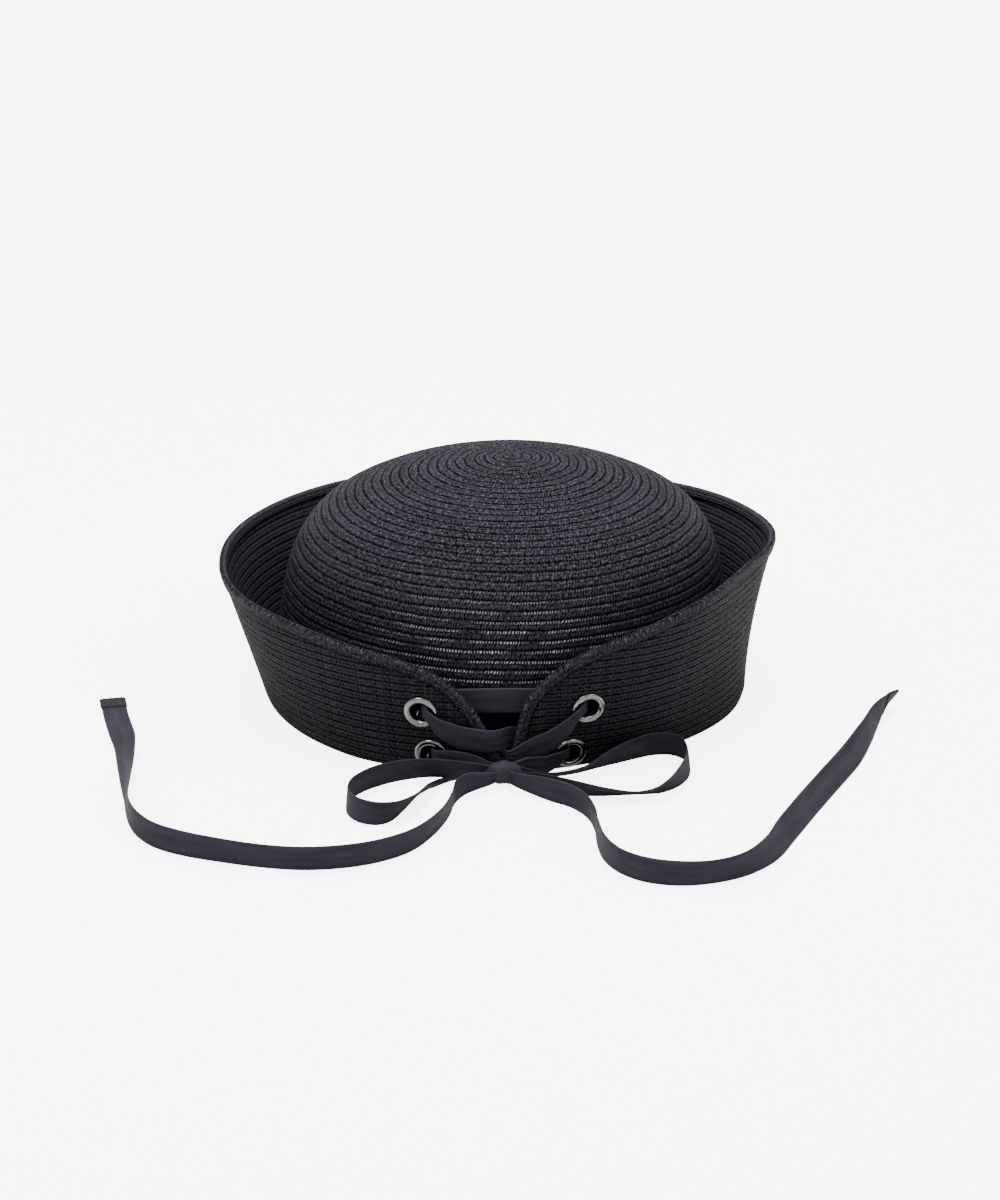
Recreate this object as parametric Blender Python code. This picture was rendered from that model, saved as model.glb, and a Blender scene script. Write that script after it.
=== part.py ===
"""A straw sailor hat: domed crown, brim folded up all round, and a laced notch at the back.

Metres, +Z up. The laced back faces -Y. The hat rests on Z = 0.
Working lengths inside the functions are millimetres and are scaled when a mesh is made.
"""

import bpy
import bmesh
import numpy as np

# Straw
CROWN_HEIGHT = 0.0995
CROWN_RADIUS = 0.092
BRIM_HEIGHT = 0.0575
BRIM_SEAT_WIDTH = 0.007
BRIM_FLARE = 0.0145
STRAW_THICKNESS = 0.0014
BINDING_THICKNESS = 0.0006
BINDING_DEPTH = 0.0036
PIECE_GAP = 0.0003
SLOT_GAP = 0.00025
CROWN_SEAM_HEIGHT = 0.0031
FOLD_HEIGHT = 0.0024

# Crown axis: where it stands, and how far it leans towards +X for each metre of height
CROWN_CENTRE_X = -0.0028
CROWN_LEAN = 0.05

# From the tables' centre to the middle of the hat's box
SHIFT_X = 0.0027
SHIFT_Y = -0.0045

# Eyelets
EYELET_OUTER_RADIUS = 0.0067
EYELET_HOLE_RADIUS = 0.0039
EYELET_BARREL_WALL = 0.0004
EYELET_FLANGE_RISE = 0.00095
EYELET_WASHER_THICKNESS = 0.00055
BRIM_HOLE_GAP = 0.0004

# Ribbon
RIBBON_WIDTH = 0.0103
RIBBON_THICKNESS = 0.0008

# Knot: middle and half sizes
KNOT_CENTRE = (-0.0004, -0.112, 0.0059)
KNOT_HALF_SIZE = (0.0056, 0.0039, 0.0045)

MM = 0.001
CROWN_SEGMENTS = 44
EYELET_SEGMENTS = 16

# Crown outline: radius as a share of CROWN_RADIUS, height as a share of CROWN_HEIGHT. The last
# row is the seam on the brim and stands at CROWN_SEAM_HEIGHT.
CROWN_OUTLINE = [
    (0.0, 1.0),
    (0.239, 0.975),
    (0.473, 0.926),
    (0.674, 0.86),
    (0.826, 0.775),
    (0.929, 0.646),
    (0.985, 0.465),
    (1.0, 0.248),
    (0.996, 0.032),
]

# Brim: azimuth from the laced back towards +X in degrees, radius at the fold as a share of
# FOLD_RADIUS, how far the wall has flared out at BRIM_HEIGHT as a share of BRIM_FLARE, and the
# power of that flare (1 is a straight slope)
BRIM = [
    (-180.0, 1.0, 1.0, 1.2),
    (-140.0, 1.0, 1.172, 1.15),
    (-115.0, 1.002, 1.159, 1.1),
    (-90.0, 1.006, 1.172, 1.05),
    (-66.0, 1.009, 1.228, 1.0),
    (-46.0, 1.025, 0.897, 0.95),
    (-33.0, 1.038, 0.683, 0.9),
    (-22.0, 1.028, 0.634, 0.85),
    (-13.7, 1.02, 0.593, 0.85),
    (0.0, 1.004, 0.6, 0.85),
    (10.0, 0.989, 0.69, 0.85),
    (20.0, 0.973, 0.869, 0.85),
    (28.0, 0.968, 1.0, 0.9),
    (37.0, 0.973, 0.986, 1.0),
    (46.0, 0.983, 0.814, 1.15),
    (55.0, 0.99, 0.6, 1.3),
    (66.0, 0.999, 0.441, 1.5),
    (78.0, 1.002, 0.503, 1.65),
    (90.0, 1.003, 0.634, 1.7),
    (101.0, 1.003, 0.8, 1.6),
    (126.0, 1.001, 0.945, 1.4),
    (180.0, 1.0, 1.0, 1.2),
]
FOLD_RADIUS = CROWN_RADIUS + BRIM_SEAT_WIDTH

# Rim: azimuth, height as a share of BRIM_HEIGHT. The notch at azimuth 0 is the laced back.
RIM = [
    (-180.0, 1.0),
    (-140.0, 1.005),
    (-90.0, 0.991),
    (-66.0, 0.974),
    (-46.0, 0.934),
    (-33.0, 0.883),
    (-22.0, 0.826),
    (-17.5, 0.779),
    (-13.7, 0.717),
    (-10.6, 0.633),
    (-7.5, 0.508),
    (-5.4, 0.391),
    (-4.4, 0.323),
    (-3.5, 0.252),
    (-2.7, 0.19),
    (-1.8, 0.134),
    (-0.9, 0.108),
    (0.0, 0.104),
    (0.8, 0.113),
    (1.5, 0.144),
    (2.1, 0.202),
    (2.7, 0.296),
    (3.3, 0.393),
    (4.1, 0.487),
    (5.2, 0.569),
    (7.3, 0.661),
    (11.5, 0.783),
    (15.5, 0.866),
    (20.0, 0.927),
    (28.0, 1.009),
    (37.0, 1.096),
    (46.0, 1.139),
    (60.0, 1.169),
    (78.0, 1.148),
    (90.0, 1.113),
    (101.0, 1.075),
    (126.0, 1.04),
    (150.0, 1.005),
    (180.0, 1.0),
]

# Eyelets: name, azimuth in degrees, height as a share of BRIM_HEIGHT
EYELETS = [
    ("eyelet_upper_left", -18.1, 0.473),
    ("eyelet_upper_right", 18.2, 0.483),
    ("eyelet_lower_left", -16.4, 0.151),
    ("eyelet_lower_right", 14.8, 0.139),
]

# Ribbon routes. Columns: x, y, height of the lower edge, lean of the upper edge to the left of
# the direction of travel in degrees, gather (1 is the full width). Millimetres.
ROUTES = {
    "lace_inner_bar": [
        (-32.0, -98.3, 24.3, 0, 0.60),
        (-27.5, -96.7, 23.8, 0, 0.75),
        (-20.0, -95.9, 23.8, 0, 1.0),
        (-10.0, -95.0, 24.0, 0, 1.0),
        (0.0, -94.7, 24.1, 0, 1.0),
        (12.0, -94.6, 24.0, 0, 1.0),
        (20.0, -94.5, 23.8, 0, 1.0),
        (27.0, -94.5, 24.2, 0, 0.75),
        (31.2, -95.4, 25.0, 0, 0.60),
    ],
    "lace_upper_left": [
        (-32.8, -99.8, 24.6, 0, 0.54),
        (-31.7, -102.6, 24.4, -5, 0.54),
        (-29.6, -105.0, 22.2, -9, 0.62),
        (-26.2, -105.5, 18.0, -9, 0.80),
        (-22.0, -105.7, 14.9, -9, 0.95),
        (-16.5, -105.5, 12.5, -9, 1.0),
        (-10.0, -104.9, 11.2, -9, 1.0),
        (-6.0, -104.6, 11.2, -7, 0.93),
        (-2.8, -103.1, 11.3, -3, 0.88),
        (0.4, -100.0, 11.3, 0, 0.85),
        (3.4, -97.3, 10.8, 0, 0.82),
        (7.0, -95.9, 9.6, 0, 0.78),
        (12.5, -94.4, 7.4, 0, 0.72),
        (18.5, -93.2, 5.8, 0, 0.65),
        (24.0, -92.5, 5.2, 0, 0.60),
    ],
    "lace_upper_right": [
        (32.0, -96.8, 25.2, 0, 0.54),
        (30.9, -99.8, 24.9, 5, 0.54),
        (28.8, -102.0, 22.6, 9, 0.62),
        (25.4, -102.7, 17.8, 9, 0.80),
        (21.0, -103.3, 13.2, 9, 0.95),
        (16.0, -103.6, 9.6, 9, 1.0),
        (11.0, -103.6, 8.2, 9, 0.92),
        (7.0, -104.1, 7.7, 9, 0.75),
        (3.4, -104.0, 7.5, 5, 0.50),
        (0.6, -102.4, 7.6, 0, 0.33),
        (-0.6, -99.4, 7.8, 0, 0.30),
        (-4.2, -97.0, 7.2, 0, 0.42),
        (-12.0, -96.2, 5.8, 0, 0.58),
        (-20.0, -95.9, 5.6, 0, 0.60),
        (-27.0, -95.9, 6.0, 0, 0.56),
    ],
    "lace_lower_left": [
        (-28.9, -97.7, 6.1, -6, 0.54),
        (-28.3, -100.8, 5.9, -10, 0.54),
        (-26.4, -103.2, 4.9, -10, 0.66),
        (-22.5, -104.2, 3.3, 0, 0.84),
        (-16.0, -105.4, 2.6, 0, 0.87),
        (-10.5, -107.2, 2.6, 0, 0.78),
        (-6.9, -109.4, 3.2, 0, 0.62),
        (-3.2, -110.9, 3.6, 0, 0.55),
    ],
    "lace_lower_right": [
        (25.2, -94.7, 5.4, 8, 0.54),
        (24.6, -97.8, 5.2, 12, 0.54),
        (22.6, -100.3, 4.2, 14, 0.62),
        (19.0, -102.2, 2.4, 10, 0.75),
        (15.6, -103.9, 1.6, 0, 0.75),
        (12.0, -106.0, 1.8, 0, 0.80),
        (8.4, -107.4, 2.6, 0, 0.75),
        (5.6, -108.8, 3.4, 0, 0.62),
        (2.6, -110.4, 3.8, 0, 0.55),
    ],
    "bow_loop_left": [
        (-3.0, -112.2, 2.6, 8, 0.60),
        (-6.8, -111.6, 2.0, 10, 0.70),
        (-12.0, -111.4, 1.8, 20, 0.88),
        (-20.0, -110.2, 1.8, 24, 0.98),
        (-31.0, -109.3, 1.8, 22, 1.0),
        (-41.0, -109.4, 0.6, 15, 1.0),
        (-49.0, -113.0, 0.05, 11, 1.0),
        (-55.0, -119.0, 0.05, 10, 1.0),
        (-59.3, -126.4, 0.05, 8, 1.0),
        (-60.8, -134.0, 0.05, 5, 1.0),
        (-59.6, -141.5, 0.05, 3, 1.0),
        (-55.2, -148.0, 0.05, 0, 1.0),
        (-48.3, -150.8, 0.05, -8, 1.0),
        (-42.0, -147.6, 0.05, -22, 1.0),
        (-37.3, -139.6, 0.05, -33, 1.0),
        (-33.6, -129.0, 0.05, -42, 0.90),
        (-30.2, -118.5, 0.05, -66, 0.66),
        (-26.2, -109.6, 0.05, -86, 0.50),
        (-19.0, -104.4, 0.05, -86, 0.45),
        (-10.5, -104.4, 0.05, -86, 0.45),
        (-5.0, -104.8, 0.2, -80, 0.45),
        (-1.6, -107.0, 1.0, -60, 0.45),
        (-0.2, -110.4, 2.6, -40, 0.45),
    ],
    "bow_loop_right": [
        (2.6, -112.2, 2.8, -12, 0.58),
        (6.4, -112.0, 2.3, -25, 0.65),
        (11.0, -111.4, 1.4, -45, 0.78),
        (16.5, -110.0, 0.9, -56, 0.90),
        (24.0, -107.5, 0.6, -56, 1.0),
        (30.5, -103.4, 0.3, -50, 1.0),
        (37.0, -97.2, 0.1, -35, 1.0),
        (43.8, -91.4, 0.05, -22, 1.0),
        (50.8, -85.9, 0.05, -12, 1.0),
        (58.0, -81.4, 0.05, -8, 1.0),
        (65.0, -80.6, 0.05, -8, 1.0),
        (70.2, -85.2, 0.05, -8, 1.0),
        (72.2, -94.0, 0.05, -8, 1.0),
        (71.2, -104.0, 0.05, -5, 1.0),
        (67.6, -113.5, 0.05, 8, 1.0),
        (62.6, -120.8, 0.05, 30, 1.0),
        (57.3, -124.2, 0.05, 52, 1.0),
        (51.0, -125.4, 0.05, 60, 1.0),
        (44.0, -126.0, 0.05, 55, 1.0),
        (36.5, -126.0, 0.05, 45, 1.0),
        (28.5, -124.6, 0.05, 34, 1.0),
        (20.0, -121.0, 0.10, 26, 0.95),
        (12.0, -116.8, 0.60, 20, 0.80),
        (7.2, -114.8, 1.20, 15, 0.65),
        (2.8, -113.8, 2.0, 8, 0.56),
    ],
    "ribbon_tail_left": [
        (-2.4, -113.6, 2.2, 15, 0.58),
        (-5.2, -115.6, 1.3, 20, 0.68),
        (-9.6, -118.0, 0.5, 20, 0.85),
        (-15.0, -122.2, 0.1, 12, 1.0),
        (-19.2, -130.2, 0.05, 4, 1.0),
        (-21.0, -142.5, 0.05, 6, 1.0),
        (-25.0, -157.0, 0.05, 10, 1.0),
        (-32.0, -171.5, 0.05, 9, 1.0),
        (-39.6, -180.4, 0.05, 8, 1.0),
        (-50.5, -187.5, 0.05, 8, 1.0),
        (-63.2, -191.6, 0.05, 8, 1.0),
        (-76.5, -192.7, 0.05, 8, 1.0),
        (-91.0, -190.4, 0.05, 8, 1.0),
        (-106.0, -185.4, 0.05, 5, 1.0),
        (-120.5, -179.0, 0.05, 0, 1.0),
        (-131.5, -171.4, 0.05, -2, 1.0),
        (-138.6, -161.6, 0.05, -3, 1.0),
        (-142.7, -151.0, 0.05, -3, 1.0),
        (-144.9, -139.5, 0.05, -6, 1.0),
        (-146.0, -126.5, 0.05, -16, 1.0),
        (-147.6, -111.0, 0.05, -31, 1.0),
        (-149.7, -92.5, 0.05, -45, 1.0),
        (-152.0, -74.0, 0.05, -57, 1.0),
        (-155.3, -57.0, 0.05, -76, 1.0),
        (-158.9, -39.0, 0.05, -88, 1.0),
        (-162.2, -20.5, 0.05, -89, 1.0),
    ],
    "ribbon_tail_right": [
        (1.0, -114.0, 2.2, -12, 0.58),
        (4.0, -116.8, 1.3, -15, 0.68),
        (9.0, -120.8, 0.5, -12, 0.85),
        (16.5, -127.3, 0.1, -8, 1.0),
        (25.0, -133.8, 0.05, -5, 1.0),
        (31.0, -143.6, 0.05, -3, 1.0),
        (33.8, -156.0, 0.05, 0, 1.0),
        (34.6, -169.5, 0.05, 3, 1.0),
        (36.8, -183.3, 0.05, 3, 1.0),
        (42.4, -195.0, 0.05, 0, 1.0),
        (51.8, -203.0, 0.05, 0, 1.0),
        (64.0, -206.2, 0.05, -3, 1.0),
        (77.0, -204.3, 0.05, -8, 1.0),
        (89.0, -196.9, 0.05, 0, 1.0),
        (98.8, -182.9, 0.05, 25, 1.0),
        (106.6, -161.6, 0.05, 45, 1.0),
        (115.8, -138.3, 0.05, 50, 1.0),
        (125.8, -114.7, 0.05, 50, 1.0),
        (136.4, -90.5, 0.05, 43, 1.0),
        (144.5, -68.5, 0.05, 24, 1.0),
        (149.6, -52.0, 0.05, 12, 1.0),
        (154.2, -40.5, 0.05, -8, 1.0),
        (158.6, -29.5, 0.05, -36, 1.0),
    ],
}

# The ribbons that run into the knot
TIED = (
    "lace_lower_left",
    "lace_lower_right",
    "bow_loop_left",
    "bow_loop_right",
    "ribbon_tail_left",
    "ribbon_tail_right",
)

# Materials: colour, metallic, roughness
STRAW = ((0.042, 0.041, 0.052), 0.0, 0.62)
BINDING = ((0.050, 0.049, 0.060), 0.0, 0.60)
SATIN = ((0.028, 0.027, 0.040), 0.0, 0.42)
GUNMETAL = ((0.22, 0.22, 0.23), 1.0, 0.16)


def clear_scene():
    for obj in list(bpy.data.objects):
        bpy.data.objects.remove(obj, do_unlink=True)


def material(name, look):
    """A plain Principled material of one colour."""
    colour, metallic, roughness = look
    mat = bpy.data.materials.new(name)
    mat.use_nodes = True
    shader = mat.node_tree.nodes["Principled BSDF"]
    shader.inputs["Base Color"].default_value = (*colour, 1.0)
    shader.inputs["Metallic"].default_value = metallic
    shader.inputs["Roughness"].default_value = roughness
    mat.diffuse_color = (*colour, 1.0)
    return mat


def add_object(name, vertices_mm, faces, look, smooth=True):
    """A named object with its own material, from vertices in millimetres."""
    mesh = bpy.data.meshes.new(name)
    shift = (SHIFT_X, SHIFT_Y, 0.0)
    placed = [tuple(float(c) * MM + d for c, d in zip(v, shift)) for v in vertices_mm]
    mesh.from_pydata(placed, [], faces)
    mesh.validate()
    bm = bmesh.new()
    bm.from_mesh(mesh)
    bmesh.ops.recalc_face_normals(bm, faces=bm.faces)
    bm.to_mesh(mesh)
    bm.free()
    for polygon in mesh.polygons:
        polygon.use_smooth = smooth
    mesh.materials.append(material(name, look))
    obj = bpy.data.objects.new(name, mesh)
    bpy.context.scene.collection.objects.link(obj)
    return obj


def column(table, index, at):
    """A smooth value from one column of a table against its first column."""
    xs = np.array([row[0] for row in table])
    ys = np.array([row[index] for row in table])
    slopes = np.gradient(ys, xs)
    at = np.clip(np.asarray(at, float), xs[0], xs[-1])
    k = np.clip(np.searchsorted(xs, at, side="right") - 1, 0, len(xs) - 2)
    h = xs[k + 1] - xs[k]
    t = (at - xs[k]) / h
    a = (1 + 2 * t) * (1 - t) ** 2 * ys[k] + t * t * (3 - 2 * t) * ys[k + 1]
    b = t * (1 - t) ** 2 * h * slopes[k] + t * t * (t - 1) * h * slopes[k + 1]
    return a + b


def unit(v):
    v = np.asarray(v, float)
    return v / np.linalg.norm(v, axis=-1, keepdims=True)


def catmull(points, per_segment):
    """Points along a smooth curve through the given rows."""
    p = np.array(points, float)
    p = np.vstack([2 * p[0] - p[1], p, 2 * p[-1] - p[-2]])
    out = []
    for i in range(1, len(p) - 2):
        for s in range(per_segment):
            t = s / per_segment
            a = 2 * p[i]
            b = (p[i + 1] - p[i - 1]) * t
            c = (2 * p[i - 1] - 5 * p[i] + 4 * p[i + 1] - p[i + 2]) * t * t
            d = (3 * p[i] - p[i - 1] - 3 * p[i + 1] + p[i + 2]) * t ** 3
            out.append((a + b + c + d) / 2)
    out.append(p[-2])
    return np.array(out)


def torus_faces(stations, ring):
    """Quads of a grid that closes both ways."""
    faces = []
    for i in range(stations):
        n = (i + 1) % stations
        for j in range(ring):
            m = (j + 1) % ring
            faces.append((i * ring + j, n * ring + j, n * ring + m, i * ring + m))
    return faces


def crown_outline():
    """The crown's outer face: radius and height in millimetres."""
    rows = [(r * CROWN_RADIUS / MM, z * CROWN_HEIGHT / MM) for r, z in CROWN_OUTLINE]
    rows[-1] = (rows[-1][0], CROWN_SEAM_HEIGHT / MM)
    return catmull(rows, 2)


def crown():
    """The dome: outer face from the table, inner face one straw thickness inside it."""
    outer = crown_outline()
    tangent = np.gradient(outer, axis=0)
    normal = unit(np.stack([tangent[:, 1], -tangent[:, 0]], axis=-1))
    inner = outer + normal * (STRAW_THICKNESS / MM)
    inner[0] = (0.0, outer[0][1] - STRAW_THICKNESS / MM)
    inner[-1] = (outer[-1][0] - STRAW_THICKNESS / MM, outer[-1][1])
    angles = np.linspace(0, 2 * np.pi, CROWN_SEGMENTS, endpoint=False)
    vertices = []

    def place(r, z, a):
        x = CROWN_CENTRE_X / MM + CROWN_LEAN * z + r * np.sin(a)
        return (x, -r * np.cos(a), z)

    rings = [list(outer[1:]), list(inner[1:])]
    for rows in rings:
        for r, z in rows:
            vertices += [place(r, z, a) for a in angles]
    top = len(vertices)
    vertices.append(place(0.0, outer[0][1], 0.0))
    vertices.append(place(0.0, inner[0][1], 0.0))
    count = len(outer) - 1
    faces = []
    for shell in range(2):
        base = shell * count * CROWN_SEGMENTS
        for k in range(CROWN_SEGMENTS):
            n = (k + 1) % CROWN_SEGMENTS
            faces.append((top + shell, base + k, base + n))
            for j in range(count - 1):
                a = base + j * CROWN_SEGMENTS
                b = a + CROWN_SEGMENTS
                faces.append((a + k, b + k, b + n, a + n))
    last_outer = (count - 1) * CROWN_SEGMENTS
    last_inner = (2 * count - 1) * CROWN_SEGMENTS
    for k in range(CROWN_SEGMENTS):
        n = (k + 1) % CROWN_SEGMENTS
        faces.append((last_outer + k, last_inner + k, last_inner + n, last_outer + n))
    return add_object("crown", vertices, faces, STRAW)


def rim_height(azimuth):
    return column(RIM, 1, wrap(azimuth)) * BRIM_HEIGHT / MM


def fold_radius(azimuth):
    return column(BRIM, 1, wrap(azimuth)) * FOLD_RADIUS / MM


def brim_point(azimuth, height):
    """A point on the middle of the brim's wall, above its fold."""
    azimuth = wrap(np.asarray(azimuth, float))
    start = FOLD_HEIGHT / MM
    share = np.maximum(height - start, 0.0) / (BRIM_HEIGHT / MM - start)
    flare = column(BRIM, 2, azimuth) * BRIM_FLARE / MM * share ** column(BRIM, 3, azimuth)
    radius = fold_radius(azimuth) + flare
    a = np.radians(azimuth)
    return np.stack([radius * np.sin(a), -radius * np.cos(a), height + 0 * radius], axis=-1)


def brim_stations():
    """Azimuths for the brim: close together at the notch, wider round the rest."""
    near = [0.0, 0.8, 1.6, 2.5, 3.5, 4.6, 5.8, 7.2, 9.0, 11.2, 13.8, 16.8, 20.2, 24.2, 29.0, 35.0]
    wide = list(np.arange(43.0, 175.0, 9.2))
    side = near[1:] + wide
    return np.array([-180.0] + [-a for a in reversed(side)] + [0.0] + side)


def brim():
    """The brim: a flat seat under the fold, then the wall flaring up to the rim."""
    stations = brim_stations()
    half = STRAW_THICKNESS / MM / 2
    fold = FOLD_HEIGHT / MM
    seam_top = CROWN_SEAM_HEIGHT / MM - PIECE_GAP / MM
    seam_radius = crown_outline()[-1][0] - half
    centre = CROWN_CENTRE_X / MM
    levels = np.linspace(0, 1, 9)
    vertices = []
    for azimuth in stations:
        a = np.radians(azimuth)
        inner = centre * np.sin(a) + np.sqrt(seam_radius ** 2 - (centre * np.cos(a)) ** 2)
        outer = float(fold_radius(azimuth))
        top = float(rim_height(azimuth))
        middle = [
            (inner, seam_top, -1.0, 0.0),
            (inner + 0.25, 1.3, -0.85, -0.5),
            (inner + 1.4, half, 0.0, -1.0),
            (outer - 1.7, half, 0.0, -1.0),
            (outer - 0.4, 1.15, 0.75, -0.65),
        ]
        heights = fold + (top - fold) * levels
        wall = brim_point(np.full(len(levels), azimuth), heights)
        radii = np.hypot(wall[:, 0], wall[:, 1])
        slope = np.gradient(radii, heights)
        for r, z, s in zip(radii, heights, slope):
            n = unit([1.0, -s])
            middle.append((r, z, n[0], n[1]))
        outside = [(r + nr * half, z + nz * half) for r, z, nr, nz in middle]
        inside = [(r - nr * half, z - nz * half) for r, z, nr, nz in middle]
        for r, z in outside + inside[::-1]:
            vertices.append((r * np.sin(a), -r * np.cos(a), max(z, 0.0)))
    ring = len(vertices) // len(stations)
    obj = add_object("brim", vertices, torus_faces(len(stations), ring), STRAW)
    for name, azimuth, share in EYELETS:
        cut_hole(obj, azimuth, share)
    return obj


def eyelet_frame(azimuth, share):
    """Centre, outward axis and two crosswise directions of an eyelet on the brim."""
    height = share * BRIM_HEIGHT / MM
    centre = brim_point(azimuth, height)
    along = brim_point(azimuth + 2.0, height) - brim_point(azimuth - 2.0, height)
    upward = brim_point(azimuth, height + 2.0) - brim_point(azimuth, height - 2.0)
    axis = unit(np.cross(along, upward))
    if np.dot(axis[:2], centre[:2]) < 0:
        axis = -axis
    side = unit(along - np.dot(along, axis) * axis)
    return centre, axis, side, np.cross(axis, side)


def revolve(outline, centre, axis, side, up, segments):
    """A closed ring from an outline of (radius, distance along the axis)."""
    vertices = []
    for k in range(segments):
        a = 2 * np.pi * k / segments
        out = side * np.cos(a) + up * np.sin(a)
        vertices += [tuple(centre + out * r + axis * h) for r, h in outline]
    return vertices, torus_faces(segments, len(outline))


def cut_hole(obj, azimuth, share):
    """A round hole through the brim for an eyelet."""
    centre, axis, side, up = eyelet_frame(azimuth, share)
    radius = (EYELET_HOLE_RADIUS + EYELET_BARREL_WALL + BRIM_HOLE_GAP) / MM
    vertices = []
    for depth in (-3.5, 3.5):
        for k in range(EYELET_SEGMENTS):
            a = 2 * np.pi * k / EYELET_SEGMENTS
            out = side * np.cos(a) + up * np.sin(a)
            vertices.append(tuple(centre + out * radius + axis * depth))
    n = EYELET_SEGMENTS
    faces = [tuple(range(n))[::-1], tuple(range(n, 2 * n))]
    faces += [(k, (k + 1) % n, n + (k + 1) % n, n + k) for k in range(n)]
    subtract(obj, add_object("cutter", vertices, faces, STRAW, smooth=False))


def rim_binding():
    """A folded strip that straddles the rim all round."""
    stations = brim_stations()
    inner = STRAW_THICKNESS / MM / 2 + SLOT_GAP / MM
    outer = inner + BINDING_THICKNESS / MM
    depth = BINDING_DEPTH / MM
    top = SLOT_GAP / MM
    cap = top + BINDING_THICKNESS / MM
    section = [
        (outer, -depth), (outer, cap * 0.4), (outer * 0.6, cap), (-outer * 0.6, cap),
        (-outer, cap * 0.4), (-outer, -depth), (-inner, -depth), (-inner, top),
        (inner, top), (inner, -depth),
    ]
    step = 0.15
    vertices = []
    for azimuth in stations:
        height = float(rim_height(azimuth))
        here = brim_point(azimuth, height)
        after = brim_point(azimuth + step, float(rim_height(azimuth + step)))
        before = brim_point(azimuth - step, float(rim_height(azimuth - step)))
        along = unit(after - before)
        rise = here - brim_point(azimuth, height - 1.5)
        beyond = unit(rise - np.dot(rise, along) * along)
        reach = min(depth, (height - FOLD_HEIGHT / MM - 0.6) / max(beyond[2], 0.15))
        around = unit([here[0], here[1], 0.0])
        for n, b in section:
            b = b if b > 0 else b * reach / depth
            step_out = beyond * b
            z = height + step_out[2]
            radius = np.hypot(*here[:2])
            turn = np.degrees(np.dot(step_out, [-around[1], around[0], 0.0]) / radius)
            a = azimuth + turn
            spot = brim_point(a, z)
            slope = brim_point(a, z + 0.5) - brim_point(a, z - 0.5)
            side = brim_point(a + 0.2, z) - brim_point(a - 0.2, z)
            vertices.append(tuple(spot + unit(np.cross(side, slope)) * n))
    return add_object("rim_binding", vertices, torus_faces(len(stations), len(section)), BINDING)


def wrap(azimuth):
    return (azimuth + 180.0) % 360.0 - 180.0


def eyelet(name, azimuth, share):
    """A flanged metal ring, with its washer on the inner side."""
    centre, axis, side, up = eyelet_frame(azimuth, share)
    hole = EYELET_HOLE_RADIUS / MM
    barrel = hole + EYELET_BARREL_WALL / MM
    wide = EYELET_OUTER_RADIUS / MM
    seat = (STRAW_THICKNESS / 2 + PIECE_GAP) / MM
    rise = EYELET_FLANGE_RISE / MM
    inner = -seat - PIECE_GAP / MM
    back = inner - EYELET_WASHER_THICKNESS / MM
    outline = [
        (hole, back), (wide * 0.82, back), (wide * 0.82, inner), (barrel, inner),
        (barrel, seat), (wide, seat), (wide * 0.97, seat + rise * 0.58),
        (wide * 0.81, seat + rise), (hole * 1.15, seat + rise * 0.84),
        (hole, seat + rise * 0.32),
    ]
    vertices, faces = revolve(outline, centre, axis, side, up, EYELET_SEGMENTS)
    return add_object(name, vertices, faces, GUNMETAL)


def ribbon(name, rows):
    """A flat strip along a route, standing on its edge or leaning as the rows say."""
    width = RIBBON_WIDTH / MM
    thick = RIBBON_THICKNESS / MM
    path = catmull(rows, 2)
    lean = np.radians(path[:, 3])
    gather = path[:, 4]
    half = gather * width / 2
    rise = np.abs(np.cos(lean)) * half + np.abs(np.sin(lean)) * thick / 2
    centre = np.stack([path[:, 0], path[:, 1], path[:, 2] + rise], axis=-1)
    flat = np.gradient(centre[:, :2], axis=0)
    flat = unit(flat)
    left = np.stack([-flat[:, 1], flat[:, 0], 0 * flat[:, 0]], axis=-1)
    up = np.cos(lean)[:, None] * np.array([0.0, 0.0, 1.0]) + np.sin(lean)[:, None] * left
    face = -np.sin(lean)[:, None] * np.array([0.0, 0.0, 1.0]) + np.cos(lean)[:, None] * left
    corners = [(1, 1), (1, -1), (-1, -1), (-1, 1)]
    vertices = []
    for i in range(len(centre)):
        for u, f in corners:
            vertices.append(tuple(centre[i] + up[i] * half[i] * u + face[i] * thick / 2 * f))
    count = len(centre)
    faces = [(0, 1, 2, 3), tuple(4 * (count - 1) + k for k in (3, 2, 1, 0))]
    for i in range(count - 1):
        for k in range(4):
            n = (k + 1) % 4
            faces.append((4 * i + k, 4 * i + n, 4 * i + 4 + n, 4 * i + 4 + k))
    return add_object(name, vertices, faces, SATIN)


def knot_block(name, grow):
    """The knot's rounded block, grown by some millimetres."""
    centre = np.array(KNOT_CENTRE) / MM
    size = np.array(KNOT_HALF_SIZE) / MM + grow
    lats = 7
    lons = 14
    vertices = [tuple(centre + (0, 0, size[2])), tuple(centre - (0, 0, size[2]))]
    for i in range(1, lats):
        t = np.pi * i / lats
        for k in range(lons):
            a = 2 * np.pi * k / lons
            d = np.array([np.sin(t) * np.cos(a), np.sin(t) * np.sin(a), np.cos(t)])
            d = np.sign(d) * np.abs(d) ** 0.75
            vertices.append(tuple(centre + d * size))
    faces = []
    for k in range(lons):
        n = (k + 1) % lons
        faces.append((0, 2 + k, 2 + n))
        last = 2 + (lats - 2) * lons
        faces.append((1, last + n, last + k))
        for i in range(lats - 2):
            a = 2 + i * lons
            faces.append((a + k, a + lons + k, a + lons + n, a + n))
    return add_object(name, vertices, faces, SATIN)


def subtract(obj, cutter):
    """Take a cutter's shape out of an object, then remove the cutter."""
    cut = obj.modifiers.new("cut", "BOOLEAN")
    cut.operation = "DIFFERENCE"
    cut.solver = "EXACT"
    cut.object = cutter
    graph = bpy.context.evaluated_depsgraph_get()
    mesh = bpy.data.meshes.new_from_object(obj.evaluated_get(graph))
    obj.modifiers.clear()
    obj.data = mesh
    bpy.data.objects.remove(cutter, do_unlink=True)


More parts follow.
